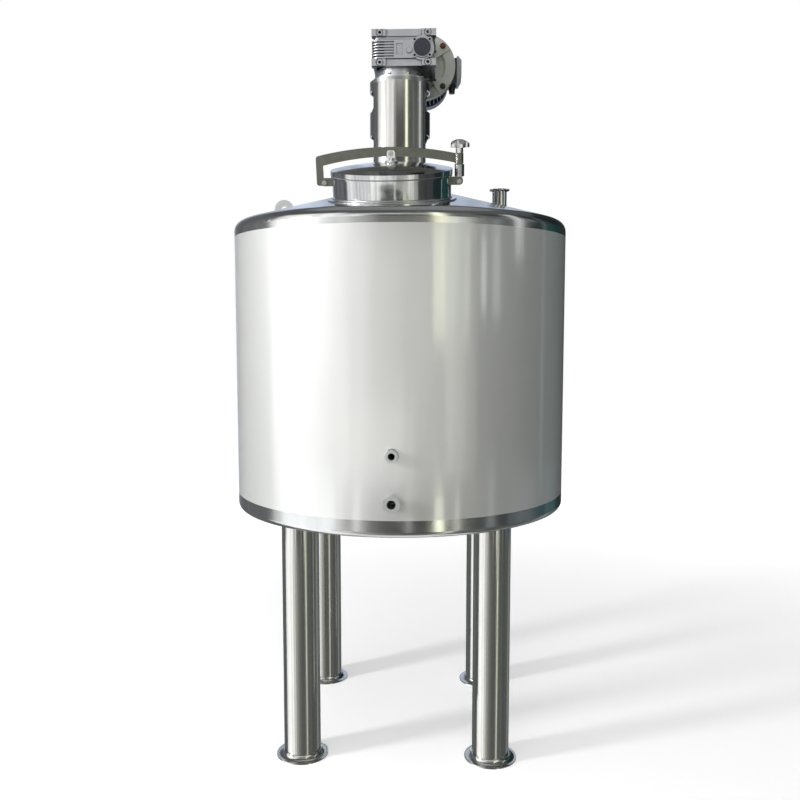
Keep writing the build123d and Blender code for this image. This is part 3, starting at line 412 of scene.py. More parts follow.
# Terminal box lid, painted lighter than the motor.
LID_PAINT = Casting("mid_grey_machine_paint", "#A1A7A8", "#959B9C", 0.15, 0.36, spread=0.05, cloud=50.0,
                    grain=2.4, depth=0.08, edge=1.6)
# Moulded nylon of the cap: dark blue-grey, low sheen.
CAP_PLASTIC = Casting("moulded_dark_nylon", "#30333F", "#2A2D38", 0.0, 0.45, spread=0.04, cloud=20.0,
                      grain=1.2, depth=0.03, edge=1.0)
# Black moulded cable gland.
BLACK_PLASTIC = Casting("moulded_black_nylon", "#1B1D20", "#16181A", 0.0, 0.4, spread=0.05, cloud=15.0,
                        grain=1.2, depth=0.03, edge=0.8)
# Food-grade silicone rubber: milky grey, soft light.
RUBBER = Casting("silicone_rubber", "#8D8F8E", "#858786", 0.0, 0.6, cloud=20.0, grain=1.5, depth=0.02,
                 edge=0.5, specular=0.35)
# Slabs of mineral wool between the cladding and the vessel.
WOOL = Fibre("pressed_mineral_wool", "#B7A46A", "#A08E58", 0.0, 0.95, cloud=40.0, specular=0.1)
# TIG weld, brushed after welding: bright ripples.
WELD = Casting("brushed_tig_weld", "#C9CBCC", "#B3B3B0", 1.0, 0.36, spread=0.06, cloud=12.0, grain=1.5,
               depth=0.03, edge=0.2)
# Blackened screws: small dark dots on the pale casing.
BLACK_SCREW = Casting("blackened_screw_steel", "#2B2D30", "#222426", 0.7, 0.42, cloud=10.0, grain=1.0,
                      depth=0.02, edge=0.3)
# Passivated flange bolts: worn yellow-brown zinc.
YELLOW_ZINC = Casting("yellow_zinc_plated_steel", "#85553A", "#5F4632", 0.85, 0.36, spread=0.08, cloud=6.0,
                      grain=1.0, depth=0.02, edge=0.4)
# The same bolts below the motor's axis, given a darker colour: dark olive.
OILED_ZINC = Casting("oiled_zinc_plated_steel", "#4E5142", "#34382E", 0.85, 0.3, spread=0.08, cloud=6.0,
                     grain=1.0, depth=0.02, edge=0.4)

NODE_FINISH: dict[Finish, tuple[str, ...]] = {
    MATT_SHEET: ("cladding_shell",),
    BRIGHT_HEAD: ("top_head", "bottom_head"),
    BRIGHT_NECK: ("manway_neck", "manway_pad", "manway_lid", "lid_clevis", "vent_ferrule", "bottom_outlet"),
    TURNED_FACE: ("thermometer_socket", "drain_ferrule", "lifting_lug"),
    BRIGHT_TUBE: ("legs", "feet", "drive_stand"),
    MILL_STEEL: ("vessel_wall", "vessel_floor", "stand_plate", "agitator_shaft", "shaft_coupling",
                 "seal_housing", "impeller"),
    CLAMP_BAR: ("clamp_arm", "clamp_ears"),
    BOLT_STEEL: ("clamp_pins", "lid_pin", "swing_bolt"),
    CHROME: ("star_knob",),
    CAST_ALUMINIUM: ("gearbox_housing", "gear_top_cover", "gear_flange", "worm_cover"),
    GREY_PAINT: ("input_flange", "motor_flange"),
    MOTOR_PAINT: ("motor_body", "fan_cover", "terminal_box"),
    LID_PAINT: ("terminal_lid",),
    CAP_PLASTIC: ("worm_cap",),
    BLACK_PLASTIC: ("cable_gland",),
    RUBBER: ("lid_gasket",),
    WOOL: ("insulation",),
}


def dress_nodes() -> None:
    """Gives every CAD node its finish."""
    for finish, names in NODE_FINISH.items():
        for name in names:
            for place in NODES[name].material_slots:
                place.material = finish.material()
            LOG.info("%s: %s", name, finish.name)
    left = sorted(set(NODES) - {name for names in NODE_FINISH.values() for name in names})
    if left:
        raise ValueError(f"no finish for {left}")


# ---- pieces


def finished(name: str, mesh: Mesh, finish: Finish, body: str = "tank",
             smooth: float = 30.0) -> None:
    """Makes a piece of a mesh in its place, gives it its finish and lets it ride.

    Args:
        name: the piece's name.
        mesh: its mesh.
        finish: its finish.
        body: the CAD body that carries it.
        smooth: edges flatter than this angle in degrees are shaded smooth.
    """
    mesh.shade_smooth()
    mesh.set_sharp_from_angle(angle=math.radians(smooth))
    mesh.materials.clear()
    mesh.materials.append(finish.material())
    piece = linked(name, mesh)
    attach(piece, body)
    LOG.info("%s: %d faces on %s", name, len(mesh.polygons), body)


def new_tree(name: str, inputs: dict[str, str]) -> tuple[Tree, bpy.types.NodeOutputs]:
    """Starts a geometry tree with a geometry input and output and named inputs.

    Args:
        name: the tree's name.
        inputs: input name to its kind of socket.

    Returns:
        The tree and the sockets that hold its inputs.
    """
    tree = bpy.data.node_groups.new(name, "GeometryNodeTree")
    for label, kind in {"Geometry": "Geometry", **inputs}.items():
        tree.interface.new_socket(label, in_out="INPUT", socket_type=f"NodeSocket{kind}")
    tree.interface.new_socket("Geometry", in_out="OUTPUT", socket_type="NodeSocketGeometry")
    return tree, add_node(tree, "NodeGroupInput").outputs


def close_tree(tree: Tree, geometry: Socket, material: Socket) -> None:
    """Ends a tree in Realize Instances and Set Material."""
    real = add_node(tree, "GeometryNodeRealizeInstances", {"Geometry": geometry})
    dressed = add_node(tree, "GeometryNodeSetMaterial", {"Geometry": real.outputs[0], "Material": material})
    add_node(tree, "NodeGroupOutput", {0: dressed.outputs[0]})


def run_tree(tree: Tree, base: Mesh, values: dict[str, object]) -> Mesh:
    """Runs a geometry tree on a mesh and gives the result as a plain mesh.

    Args:
        tree: the tree.
        base: the mesh it starts from; it is removed afterwards.
        values: input name to value.

    Returns:
        The resulting mesh.
    """
    carrier = linked(base.name, base)
    modifier = carrier.modifiers.new(tree.name, "NODES")
    modifier.node_group = tree
    for item in tree.interface.items_tree:
        if item.in_out == "INPUT" and item.name in values:
            modifier[item.identifier] = values[item.name]
    graph = bpy.context.evaluated_depsgraph_get()
    mesh = bpy.data.meshes.new_from_object(carrier.evaluated_get(graph))
    carrier.modifiers.remove(modifier)
    bpy.data.objects.remove(carrier)
    bpy.data.meshes.remove(base)
    return mesh


@lru_cache(maxsize=None)
def weld_tree() -> Tree:
    """Builds the tree that lays a rippled bead along each line of edges.

    Returns:
        The tree, with inputs for the bead's radius, its ripple's pitch and depth, and its material.
    """
    tree, given = new_tree("weld_bead", {
        "Bead radius": "Float", "Ripple pitch": "Float", "Ripple depth": "Float", "Material": "Material"})
    pitch = given["Ripple pitch"]
    lines = add_node(tree, "GeometryNodeMeshToCurve", {"Mesh": given["Geometry"]})
    fine = add_node(tree, "GeometryNodeResampleCurve", {
        "Curve": lines.outputs[0], "Length": maths(tree, "DIVIDE", pitch, 3.0)}, mode="LENGTH")
    run = add_node(tree, "GeometryNodeSplineParameter").outputs["Length"]
    angle = maths(tree, "MULTIPLY", maths(tree, "DIVIDE", run, pitch), FULL_TURN)
    size = maths(tree, "MULTIPLY_ADD", maths(tree, "SINE", angle), given["Ripple depth"], 1.0)
    sized = add_node(tree, "GeometryNodeSetCurveRadius", {"Curve": fine.outputs[0], "Radius": size})
    profile = add_node(tree, "GeometryNodeCurvePrimitiveCircle", {
        "Resolution": 8, "Radius": given["Bead radius"]})
    bead = add_node(tree, "GeometryNodeCurveToMesh", {
        "Curve": sized.outputs[0], "Profile Curve": profile.outputs[0], "Fill Caps": True})
    close_tree(tree, bead.outputs[0], given["Material"])
    return tree


@lru_cache(maxsize=None)
def repeat_tree() -> Tree:
    """Builds the tree that sets one small shape at every point, turned to the point's own axis.

    Returns:
        The tree, with inputs for the shape, a turn about the axis at each point and the material.
    """
    tree, given = new_tree("repeat_on_points", {
        "Shape": "Object", "Step turn": "Float", "Material": "Material"})
    shape = add_node(tree, "GeometryNodeObjectInfo", {"Object": given["Shape"]}, transform_space="ORIGINAL")
    axis = add_node(tree, "GeometryNodeInputNamedAttribute", {"Name": "axis"}, data_type="FLOAT_VECTOR")
    aim = add_node(tree, "FunctionNodeAlignRotationToVector", {"Vector": axis.outputs[0]}, axis="Z")
    turn = maths(tree, "MULTIPLY", add_node(tree, "GeometryNodeInputIndex").outputs[0], given["Step turn"])
    spin = add_node(tree, "FunctionNodeAxisAngleToRotation", {"Axis": (0, 0, 1), "Angle": turn})
    both = add_node(tree, "FunctionNodeRotateRotation", {
        "Rotation": aim.outputs[0], "Rotate By": spin.outputs[0]}, rotation_space="LOCAL")
    points = add_node(tree, "GeometryNodeMeshToPoints", {"Mesh": given["Geometry"]})
    set_out = add_node(tree, "GeometryNodeInstanceOnPoints", {
        "Points": points.outputs[0], "Instance": shape.outputs["Geometry"], "Rotation": both.outputs[0]})
    close_tree(tree, set_out.outputs[0], given["Material"])
    return tree


def repeated(name: str, template: Mesh, spots: list[Spot], step_turn: float, finish: Finish) -> None:
    """Sets a small shape at every spot and makes one piece of them on the tank.

    Args:
        name: the piece's name.
        template: the shape, made at the origin along Z.
        spots: place and axis of each.
        step_turn: turn about the axis that each next one adds, in radians.
        finish: its finish.
    """
    base = bpy.data.meshes.new(f"{name}_points")
    base.from_pydata([spot for spot, _ in spots], [], [])
    attribute = base.attributes.new("axis", "FLOAT_VECTOR", "POINT")
    attribute.data.foreach_set("vector", [c for _, axis in spots for c in axis.normalized()])
    holder = bpy.data.objects.new(f"{name}_shape", template)
    mesh = run_tree(repeat_tree(), base, {
        "Shape": holder, "Step turn": step_turn, "Material": finish.material()})
    bpy.data.objects.remove(holder)
    bpy.data.meshes.remove(template)
    finished(name, mesh, finish)


@dataclass(frozen=True)
class Bead:
    """A weld bead in millimetres: its radius, and how far its middle stands off and above the join.

    pitch is the distance between its ripples and ripple their height as a share of the radius; a
    ground bead has almost none.
    """

    radius: float
    off: float
    lift: float = 0.0
    pitch: float = 4.0
    ripple: float = 0.1


def welded(name: str, bead: Bead, lines: list[Line], body: str = "tank") -> None:
    """Lays weld beads along lines.

    Args:
        name: the piece's name.
        bead: the bead's size.
        lines: the line of each.
        body: the body it rides on.
    """
    points, edges = [], []
    for line, closed in lines:
        first = len(points)
        points += line
        edges += [(i - 1, i) for i in range(first + 1, len(points))]
        if closed:
            edges.append((len(points) - 1, first))
    base = bpy.data.meshes.new(f"{name}_lines")
    base.from_pydata(points, edges, [])
    mesh = run_tree(weld_tree(), base, {
        "Bead radius": bead.radius * MM, "Ripple pitch": bead.pitch * MM, "Ripple depth": bead.ripple,
        "Material": WELD.material()})
    finished(name, mesh, WELD, body, 50.0)


# ---- fasteners


class Head(Enum):
    """Head forms of the tank's screws: of each solid its sides, then radius and height in thread sizes."""

    HEX = ((20, ((0, 0), (1.05, 0), (1.08, 0.04), (1.08, 0.14), (1.02, 0.18), (0, 0.18))),
           (6, ((0, 0.18), (0.92, 0.18), (0.92, 0.76), (0.7912, 0.86), (0, 0.86))),
           (20, ((0, 0.78), (0.736, 0.78), (0.7176, 0.87), (0, 0.88))))
    SOCKET = ((18, ((0, 0), (0.78, 0), (0.78, 0.82), (0.7, 0.9), (0.42, 0.9), (0.42, 0.405), (0, 0.405))),)
    BUTTON = ((18, ((0, 0), (0.95, 0), (0.95, 0.1), (0.779, 0.35), (0.408, 0.5), (0.34, 0.5), (0.34, 0.2),
                    (0, 0.2))),)


def screw_mesh(form: Head, size: float) -> Mesh:
    """Makes the head of a screw of a thread size in millimetres, standing on the origin along Z."""
    def make(shape: Shape) -> None:
        """Fills the mesh with the head's solids."""
        for sides, outline in form.value:
            lathe(shape, [(out * size, up * size) for out, up in outline], sides, Matrix.Identity(4))

    return mesh_from("screw_head", make)


def ring_of_spots(centre: Vector, axis: Vector, radius: float, count: int, first: float) -> list[Spot]:
    """Gives evenly spaced spots on a bolt circle, radius in millimetres, first angle in degrees."""
    place = facing(axis, centre)
    return [(place @ Vector((radius * MM * x, radius * MM * y, 0)), axis)
            for x, y in circle(count, math.radians(first))]


# ---- tank shell


@dataclass
class Shell:
    """The tank's body: heads, cladding, ports, lug and legs, with the beads that join them."""

    tank_r: float = 600.0
    cone_z: float = 1861.671        # outer end of the top head's straight slope
    cone_r: float = 571.963
    cone_slope: float = 15.2
    low_z: float = 837.220
    low_r: float = 582.956
    low_slope: float = 8.5
    steps: int = 72                 # points on a line round a pipe
    leg_at: float = 328.03
    leg_r: float = 63.5
    leg_bead: Bead = Bead(3.5, 1.0)
    stand_r: float = 109.5
    stand_bead: Bead = Bead(3.0, 1.0)
    vent_at: Pair = (353.01, -149.85)
    vent_r: float = 25.0
    vent_bead: Bead = Bead(1.8, 0.5, pitch=3.0)
    ports: tuple[Pair, ...] = ((1098.0, 20.0), (951.0, 17.5))    # height and radius
    port_bead: Bead = Bead(1.6, 0.4, pitch=3.0)
    port_steps: int = 48
    lug_at: float = -428.0
    lug_w: float = 84.0
    lug_t: float = 10.0
    lug_steps: int = 24
    lug_bead: Bead = Bead(2.6, 0.6)

    def top_z(self, x: float, y: float) -> float:
        """Gives the top head's height over a point, all in millimetres."""
        return self.cone_z + (self.cone_r - math.hypot(x, y)) * math.tan(math.radians(self.cone_slope))

    def bottom_z(self, x: float, y: float) -> float:
        """Gives the bottom head's height over a point, all in millimetres."""
        return self.low_z - (self.low_r - math.hypot(x, y)) * math.tan(math.radians(self.low_slope))

    def pipe_line(self, x: float, y: float, radius: float,
                  height: Callable[[float, float], float]) -> Line:
        """Gives the line where an upright pipe meets a head of a height, all in millimetres."""
        spots = [(x + radius * cos, y + radius * sin) for cos, sin in circle(self.steps)]
        return [Vector((*spot, height(*spot))) * MM for spot in spots], True

    def port_line(self, z: float, radius: float) -> Line:
        """Gives the line where a round port at a height leaves the cladding, both in millimetres."""
        spots = [(radius * cos, z + radius * sin) for cos, sin in circle(self.port_steps)]
        return [Vector((x, -math.sqrt(self.tank_r ** 2 - x * x), high)) * MM for x, high in spots], True

    def lug_line(self) -> Line:
        """Gives the line round the lug's foot, out along its front and back along its rear."""
        thick = self.lug_t / 2
        line = []
        for way in (1, -1):
            for i in range(self.lug_steps + 1):
                x = self.lug_at + way * self.lug_w * (i / self.lug_steps - 0.5)
                line.append(Vector((x, -way * (thick + self.lug_bead.off), self.top_z(x, thick))) * MM)
        return line, True

    def build(self) -> None:
        """Makes the weld beads of the legs, the stand, the vent, the ports and the lug."""
        leg_r = self.leg_r + self.leg_bead.off
        welded("leg_welds", self.leg_bead, [
            self.pipe_line(right * self.leg_at, back * self.leg_at, leg_r, self.bottom_z)
            for right in (-1, 1) for back in (-1, 1)])
        welded("stand_weld", self.stand_bead, [
            self.pipe_line(0, 0, self.stand_r + self.stand_bead.off, self.top_z)])
        welded("vent_weld", self.vent_bead, [
            self.pipe_line(*self.vent_at, self.vent_r + self.vent_bead.off, self.top_z)])
        welded("port_welds", self.port_bead, [
            self.port_line(z, radius + self.port_bead.off) for z, radius in self.ports])
        welded("lug_weld", self.lug_bead, [self.lug_line()])


# ---- manway


@dataclass
class Manway:
    """The tilted manway with its lid, clamp bar, swing bolt and knob."""

    centre: tuple[float, float, float] = (0.0, -354.75, 1920.685)
    turn: float = 1.7               # round the tank, from -Y towards -X
    tilt: float = 15.2
    neck_r: float = 193.0
    neck_bead: Bead = Bead(2.6, 0.8, 0.4, 9.0, 0.02)
    pad_r: float = 208.0
    pad_t: float = 4.0
    pad_bead: Bead = Bead(2.2, 0.5, 0.5, 9.0, 0.02)
    cone_steps: int = 144
    settling: int = 6               # rounds that bring a point onto the cone
    lid_crown: float = 102.6
    clevis_r: float = 20.0
    clevis_bead: Bead = Bead(1.4, 0.3, -0.1, 3.0)
    clevis_steps: int = 48
    shell: Shell = field(default_factory=Shell)

    def place(self) -> Matrix:
        """Gives the manway's own frame: X along the clamp bar, Z square to the cone."""
        turn = Matrix.Rotation(-math.radians(self.turn), 4, "Z")
        tilt = Matrix.Rotation(math.radians(self.tilt), 4, "X")
        return turn @ (Matrix.Translation(Vector(self.centre) * MM) @ tilt)

    def cone_line(self, radius: float, lift: float) -> Line:
        """Gives the line of a round wall on the cone, its radius and lift in millimetres."""
        place = self.place()
        line = []
        for x, y in circle(self.cone_steps):
            height = 0.0
            for _ in range(self.settling):
                spot = place @ (Vector((radius * x, radius * y, height)) * MM)
                height += self.shell.top_z(spot.x / MM, spot.y / MM) + lift - spot.z / MM
            line.append(place @ (Vector((radius * x, radius * y, height)) * MM))
        return line, True

    def flat_line(self, radius: float, height: float) -> Line:
        """Gives a circle in the manway's own frame, radius and height in millimetres."""
        place = self.place()
        return [place @ (Vector((radius * x, radius * y, height)) * MM)
                for x, y in circle(self.clevis_steps)], True

    def build(self) -> None:
        """Makes the beads round the neck, the pad and the clevis foot."""
        neck, pad, clevis = self.neck_bead, self.pad_bead, self.clevis_bead
        welded("neck_weld", neck, [self.cone_line(self.neck_r + neck.off, self.pad_t + neck.lift)])
        welded("pad_weld", pad, [self.cone_line(self.pad_r + pad.off, pad.lift)])
        welded("clevis_weld", clevis, [
            self.flat_line(self.clevis_r + clevis.off, self.lid_crown + clevis.lift)], "lid_clamp")


# ---- drive


@dataclass
class Drive:
    """The worm gear reducer and its motor, with their screws and fan, in millimetres."""

    flange_face: float = 2376.3     # top of the reducer's round output flange
    flange_circle: float = 87.5
    flange_bolt: float = 8.0
    worm: Pair = (82.0, 2462.3)
    cover_ear: float = 26.5
    cover_front: float = -109.0
    cover_screw: float = 4.5
    top_z: float = 2535.3
    top_circle: float = 50.0
    top_screw: float = 6.0
    motor_seat: float = 122.0       # where the heads of the motor flange's bolts sit
    motor_circle: float = 103.5
    motor_bolt: float = 10.0
    fan_y: Pair = (369.0, 413.0)
    fan_r: float = 81.0
    hub_r: float = 24.0
    blades: int = 9
    blade_steps: int = 6
    blade_half: float = 1.1
    blade_gap: float = 3.0          # from the blades' tips to the plate's rim
    blade_sweep: float = 12.0

    def build(self) -> None:
        """Makes the screws and the fan."""
        up, front = Vector((0, 0, 1)), Vector((0, -1, 0))
        x, z = self.worm
        flange = ring_of_spots(Vector((0, 0, self.flange_face)) * MM, up, self.flange_circle, 8, 22.5)
        repeated("output_flange_bolts", screw_mesh(Head.HEX, self.flange_bolt), flange, 0.35, BOLT_STEEL)
        ear = self.cover_ear
        ears = [(Vector((x + right * ear, self.cover_front, z + high * ear)) * MM, front)
                for right in (-1, 1) for high in (-1, 1)]
        repeated("worm_cover_screws", screw_mesh(Head.BUTTON, self.cover_screw), ears, 0.4, BLACK_SCREW)
        top = ring_of_spots(Vector((0, 0, self.top_z)) * MM, up, self.top_circle, 6, 0.0)
        repeated("top_cover_screws", screw_mesh(Head.SOCKET, self.top_screw), top, 0.3, BOLT_STEEL)
        motor = ring_of_spots(Vector((x, self.motor_seat, z)) * MM, front, self.motor_circle, 4, 45.0)
        for name, upper, finish in (("upper_motor_flange_bolts", True, YELLOW_ZINC),
                                    ("lower_motor_flange_bolts", False, OILED_ZINC)):
            spots = [spot for spot in motor if (spot[0].z > z * MM) == upper]
            repeated(name, screw_mesh(Head.HEX, self.motor_bolt), spots, 0.5, finish)
        self.build_fan()

    def build_fan(self) -> None:
        """Makes the cooling fan behind the grille."""
        start, end = self.fan_y
        deep = end - start
        back, middle = Vector((0, 1, 0)), Vector((self.worm[0], start, self.worm[1])) * MM

        def hub(shape: Shape) -> None:
            """Fills the mesh with the fan's hub and back plate."""
            lathe(shape, [(0, 0), (self.fan_r, 0), (self.fan_r, 3), (30, 4), (26, 10), (self.hub_r, deep - 4),
                          (20, deep), (0, deep)], 48, facing(back, middle))

        def blade(shape: Shape) -> None:
            """Fills the mesh with one blade, curved along its length and lower at its tip."""
            rows = []
            for i in range(self.blade_steps + 1):
                share = i / self.blade_steps
                radius = self.hub_r + (self.fan_r - self.blade_gap - self.hub_r) * share
                sweep = self.blade_sweep * share * share
                top = 0.9 - 0.2 * share
                rows.append([
                    shape.verts.new(Vector((radius, sweep + side * self.blade_half, height * deep)) * MM)
                    for side, height in ((-1, 0.06), (1, 0.06), (1, top), (-1, top))])
            for one, two in zip(rows, rows[1:]):
                for k in range(4):
                    shape.faces.new((one[k], one[(k + 1) % 4], two[(k + 1) % 4], two[k]))
            shape.faces.new(rows[0])
            shape.faces.new(rows[-1])

        finished("fan_hub", mesh_from("fan_hub", hub), BLACK_PLASTIC)
        repeated("fan_blades", mesh_from("fan_blade", blade), [(middle, back)] * self.blades,
                 FULL_TURN / self.blades, BLACK_PLASTIC)


# ---- studio


@dataclass(frozen=True)
class Card:
    """An upright studio card round the tank that only shiny surfaces see.

    start and end are degrees from the camera's side towards the right, low and high its edges in
    metres, and near how far it stands inside the ring of cards.
    """

    name: str
    start: float
    end: float
    tone: str
    level: float
    low: float = -0.45
    high: float = 5.5
    near: float = 0.0

    def bend(self, ring_r: float, shape: Shape) -> None:
        """Fills a mesh with the card, bent round the tank inside a ring."""
        steps = max(2, int((self.end - self.start) / 4))
        rows = []
        for i in range(steps + 1):
            turn = math.radians(self.start + (self.end - self.start) * i / steps)
            side = Vector((math.sin(turn), -math.cos(turn), 0)) * (ring_r - self.near)
            rows.append([shape.verts.new(side + Vector((0, 0, z))) for z in (self.high, self.low)])
        for one, two in zip(rows, rows[1:]):
            shape.faces.new((one[0], two[0], two[1], one[1]))


CARDS = [Card(*row) for row in (
    ("left_softbox", -88, -50, "#FFFFFF", 0.9),
    ("left_wall", -50, -34, "#F6F6F4", 1.0),
    ("front_left_wall", -34, -14, "#F4F4F2", 0.86),
    ("front_wall", -14, 30, "#EFEFE6", 0.66),
    ("front_right_wall", 30, 43, "#EFEFE6", 0.95),
    ("right_wall", 43, 51, "#EFEFE6", 0.45),
    ("right_dark_card", 51, 84, "#DDE2E2", 0.09, -0.45, 9.0),
    ("right_teal_card", 84, 107, "#8FB9BA", 0.06, -0.45, 9.0),
    ("right_back_card", 107, 138, "#4E9592", 0.19, -0.45, 9.0),
    ("right_far_card", 138, 162, "#B8C4C8", 0.06, -0.45, 9.0),
    ("back_wall", 162, 212, "#D6E3F8", 0.8),
    ("left_back_card", 212, 272, "#E6E9EE", 0.2),
    ("warm_strip", 23, 30, "#FBFFE6", 2.1, 1.35, 2.3, 0.05),
    ("warm_band_strip", 22, 31, "#FFF6C8", 1.1, 2.3, 2.95, 0.05),
    ("warm_high_strip", 23, 30, "#FBFFE6", 2.1, 2.95, 5.5, 0.05),
    ("right_upper_wall", 30, 46, "#F2F4EA", 1.2, 1.35, 2.3, 0.02),
    ("front_low_wall", -40, 10, "#F2F2EE", 1.15, 0.12, 0.8, 0.02),
    ("stand_left", -72, -22, "#F8F6F8", 1.5, 2.95, 3.7, 0.06),
    ("right_high_card", 84, 140, "#A4AEBA", 0.05, 2.95, 9.0, 0.02),
    ("left_top", -50, -26, "#F6F6F6", 1.1, 2.2, 3.75, 0.03),
    ("right_top", 51, 100, "#DDE2E2", 0.24, 2.4, 3.75, 0.03),
    ("thin_strip", 36.5, 39, "#F4FBF6", 1.3, 1.5, 2.6, 0.05),
    ("far_strip", 54, 57, "#F2F6F4", 1.7, 1.6, 2.2, 0.05),
    ("window", 62, 68, "#EEF4F6", 1.15, 1.55, 2.3, 0.05),
    ("high_window", 79, 87, "#F2F6F4", 1.1, 2.05, 5.5, 0.05),
    ("high_softbox", -34, 12, "#FFFFFF", 1.05, 3.75, 4.4, 0.05),
    ("high_left_softbox", -78, -34, "#FFFFFF", 1.3, 3.7, 5.5, 0.05),
    ("high_front", -34, 22, "#E8EAE8", 0.1, 4.4, 5.5, 0.05),
    ("high_right", 32, 50, "#E8EAE8", 0.2, 3.75, 5.5, 0.05),
    ("edge_line", 108, 110, "#DDF0EE", 0.5, 0.1, 5.5, 0.05),
    ("neck_strip", 24, 29.5, "#FBFFE6", 2.3, -0.45, 0.05, 0.05),
    ("neck_line_left", -27, -23, "#FFFFFF", 1.2, -0.45, 0.08, 0.06),
    ("neck_line_right", 37, 40, "#FDFFF0", 1.8, -0.45, 0.06, 0.06),
    ("neck_line_front", 6, 9, "#F6F8F4", 0.8, -0.45, 0.1, 0.06),
    ("neck_window", 60, 65, "#EEF4F6", 0.5, -0.45, 0.25, 0.05),
    ("front_foot_left", -34, -18, "#F4F4F2", 0.4, -0.45, 0.1, 0.03),
    ("foot_left_card", -80, -38, "#F6F8FA", 1.7, -0.45, 0.2, 0.03),
    ("front_foot", -18, 30, "#E8EAE4", 0.06, -0.45, 0.1, 0.03),
    ("front_foot_right", 30, 51, "#E8EAE4", 0.16, -0.45, 0.18, 0.03),
    ("foot_right_card", 76, 100, "#B9C6C9", 0.32, -0.45, 0.2, 0.03),
    ("foot_teal_card", 100, 135, "#7FA9AB", 0.3, -0.45, 0.2, 0.03),
    ("front_top_left", -26, -12, "#F4F4F2", 0.4, 2.2, 3.75, 0.03),
    ("front_top", -12, 22, "#E8EAE4", 0.1, 2.2, 3.75, 0.03),
    ("front_right_top", 32, 51, "#E8EAE4", 0.13, 2.6, 3.75, 0.03),
    ("low_left_softbox", -92, -43, "#FFFFFF", 1.6, -9.0, -0.45),
    ("low_left_wall", -43, -30, "#F4F4F0", 1.0, -9.0, -0.45),
    ("low_mid_wall", -30, -17, "#EFEFEA", 0.52, -9.0, -0.45),
    ("low_front_wall", -17, -5, "#EFEFEA", 0.28, -9.0, -0.45),
    ("low_front", -5, 30, "#E6E8E2", 0.2, -9.0, -0.45),
    ("low_strip", 30, 38, "#F6F7E2", 1.1, -9.0, -0.45),
    ("low_right", 38, 112, "#DDE2DF", 0.18, -9.0, -0.45),
    ("low_right_strip", 112, 126, "#F2F6F4", 0.4, -9.0, -0.45),
    ("low_back", 126, 268, "#E3E8EA", 0.2, -9.0, -0.45),
)]


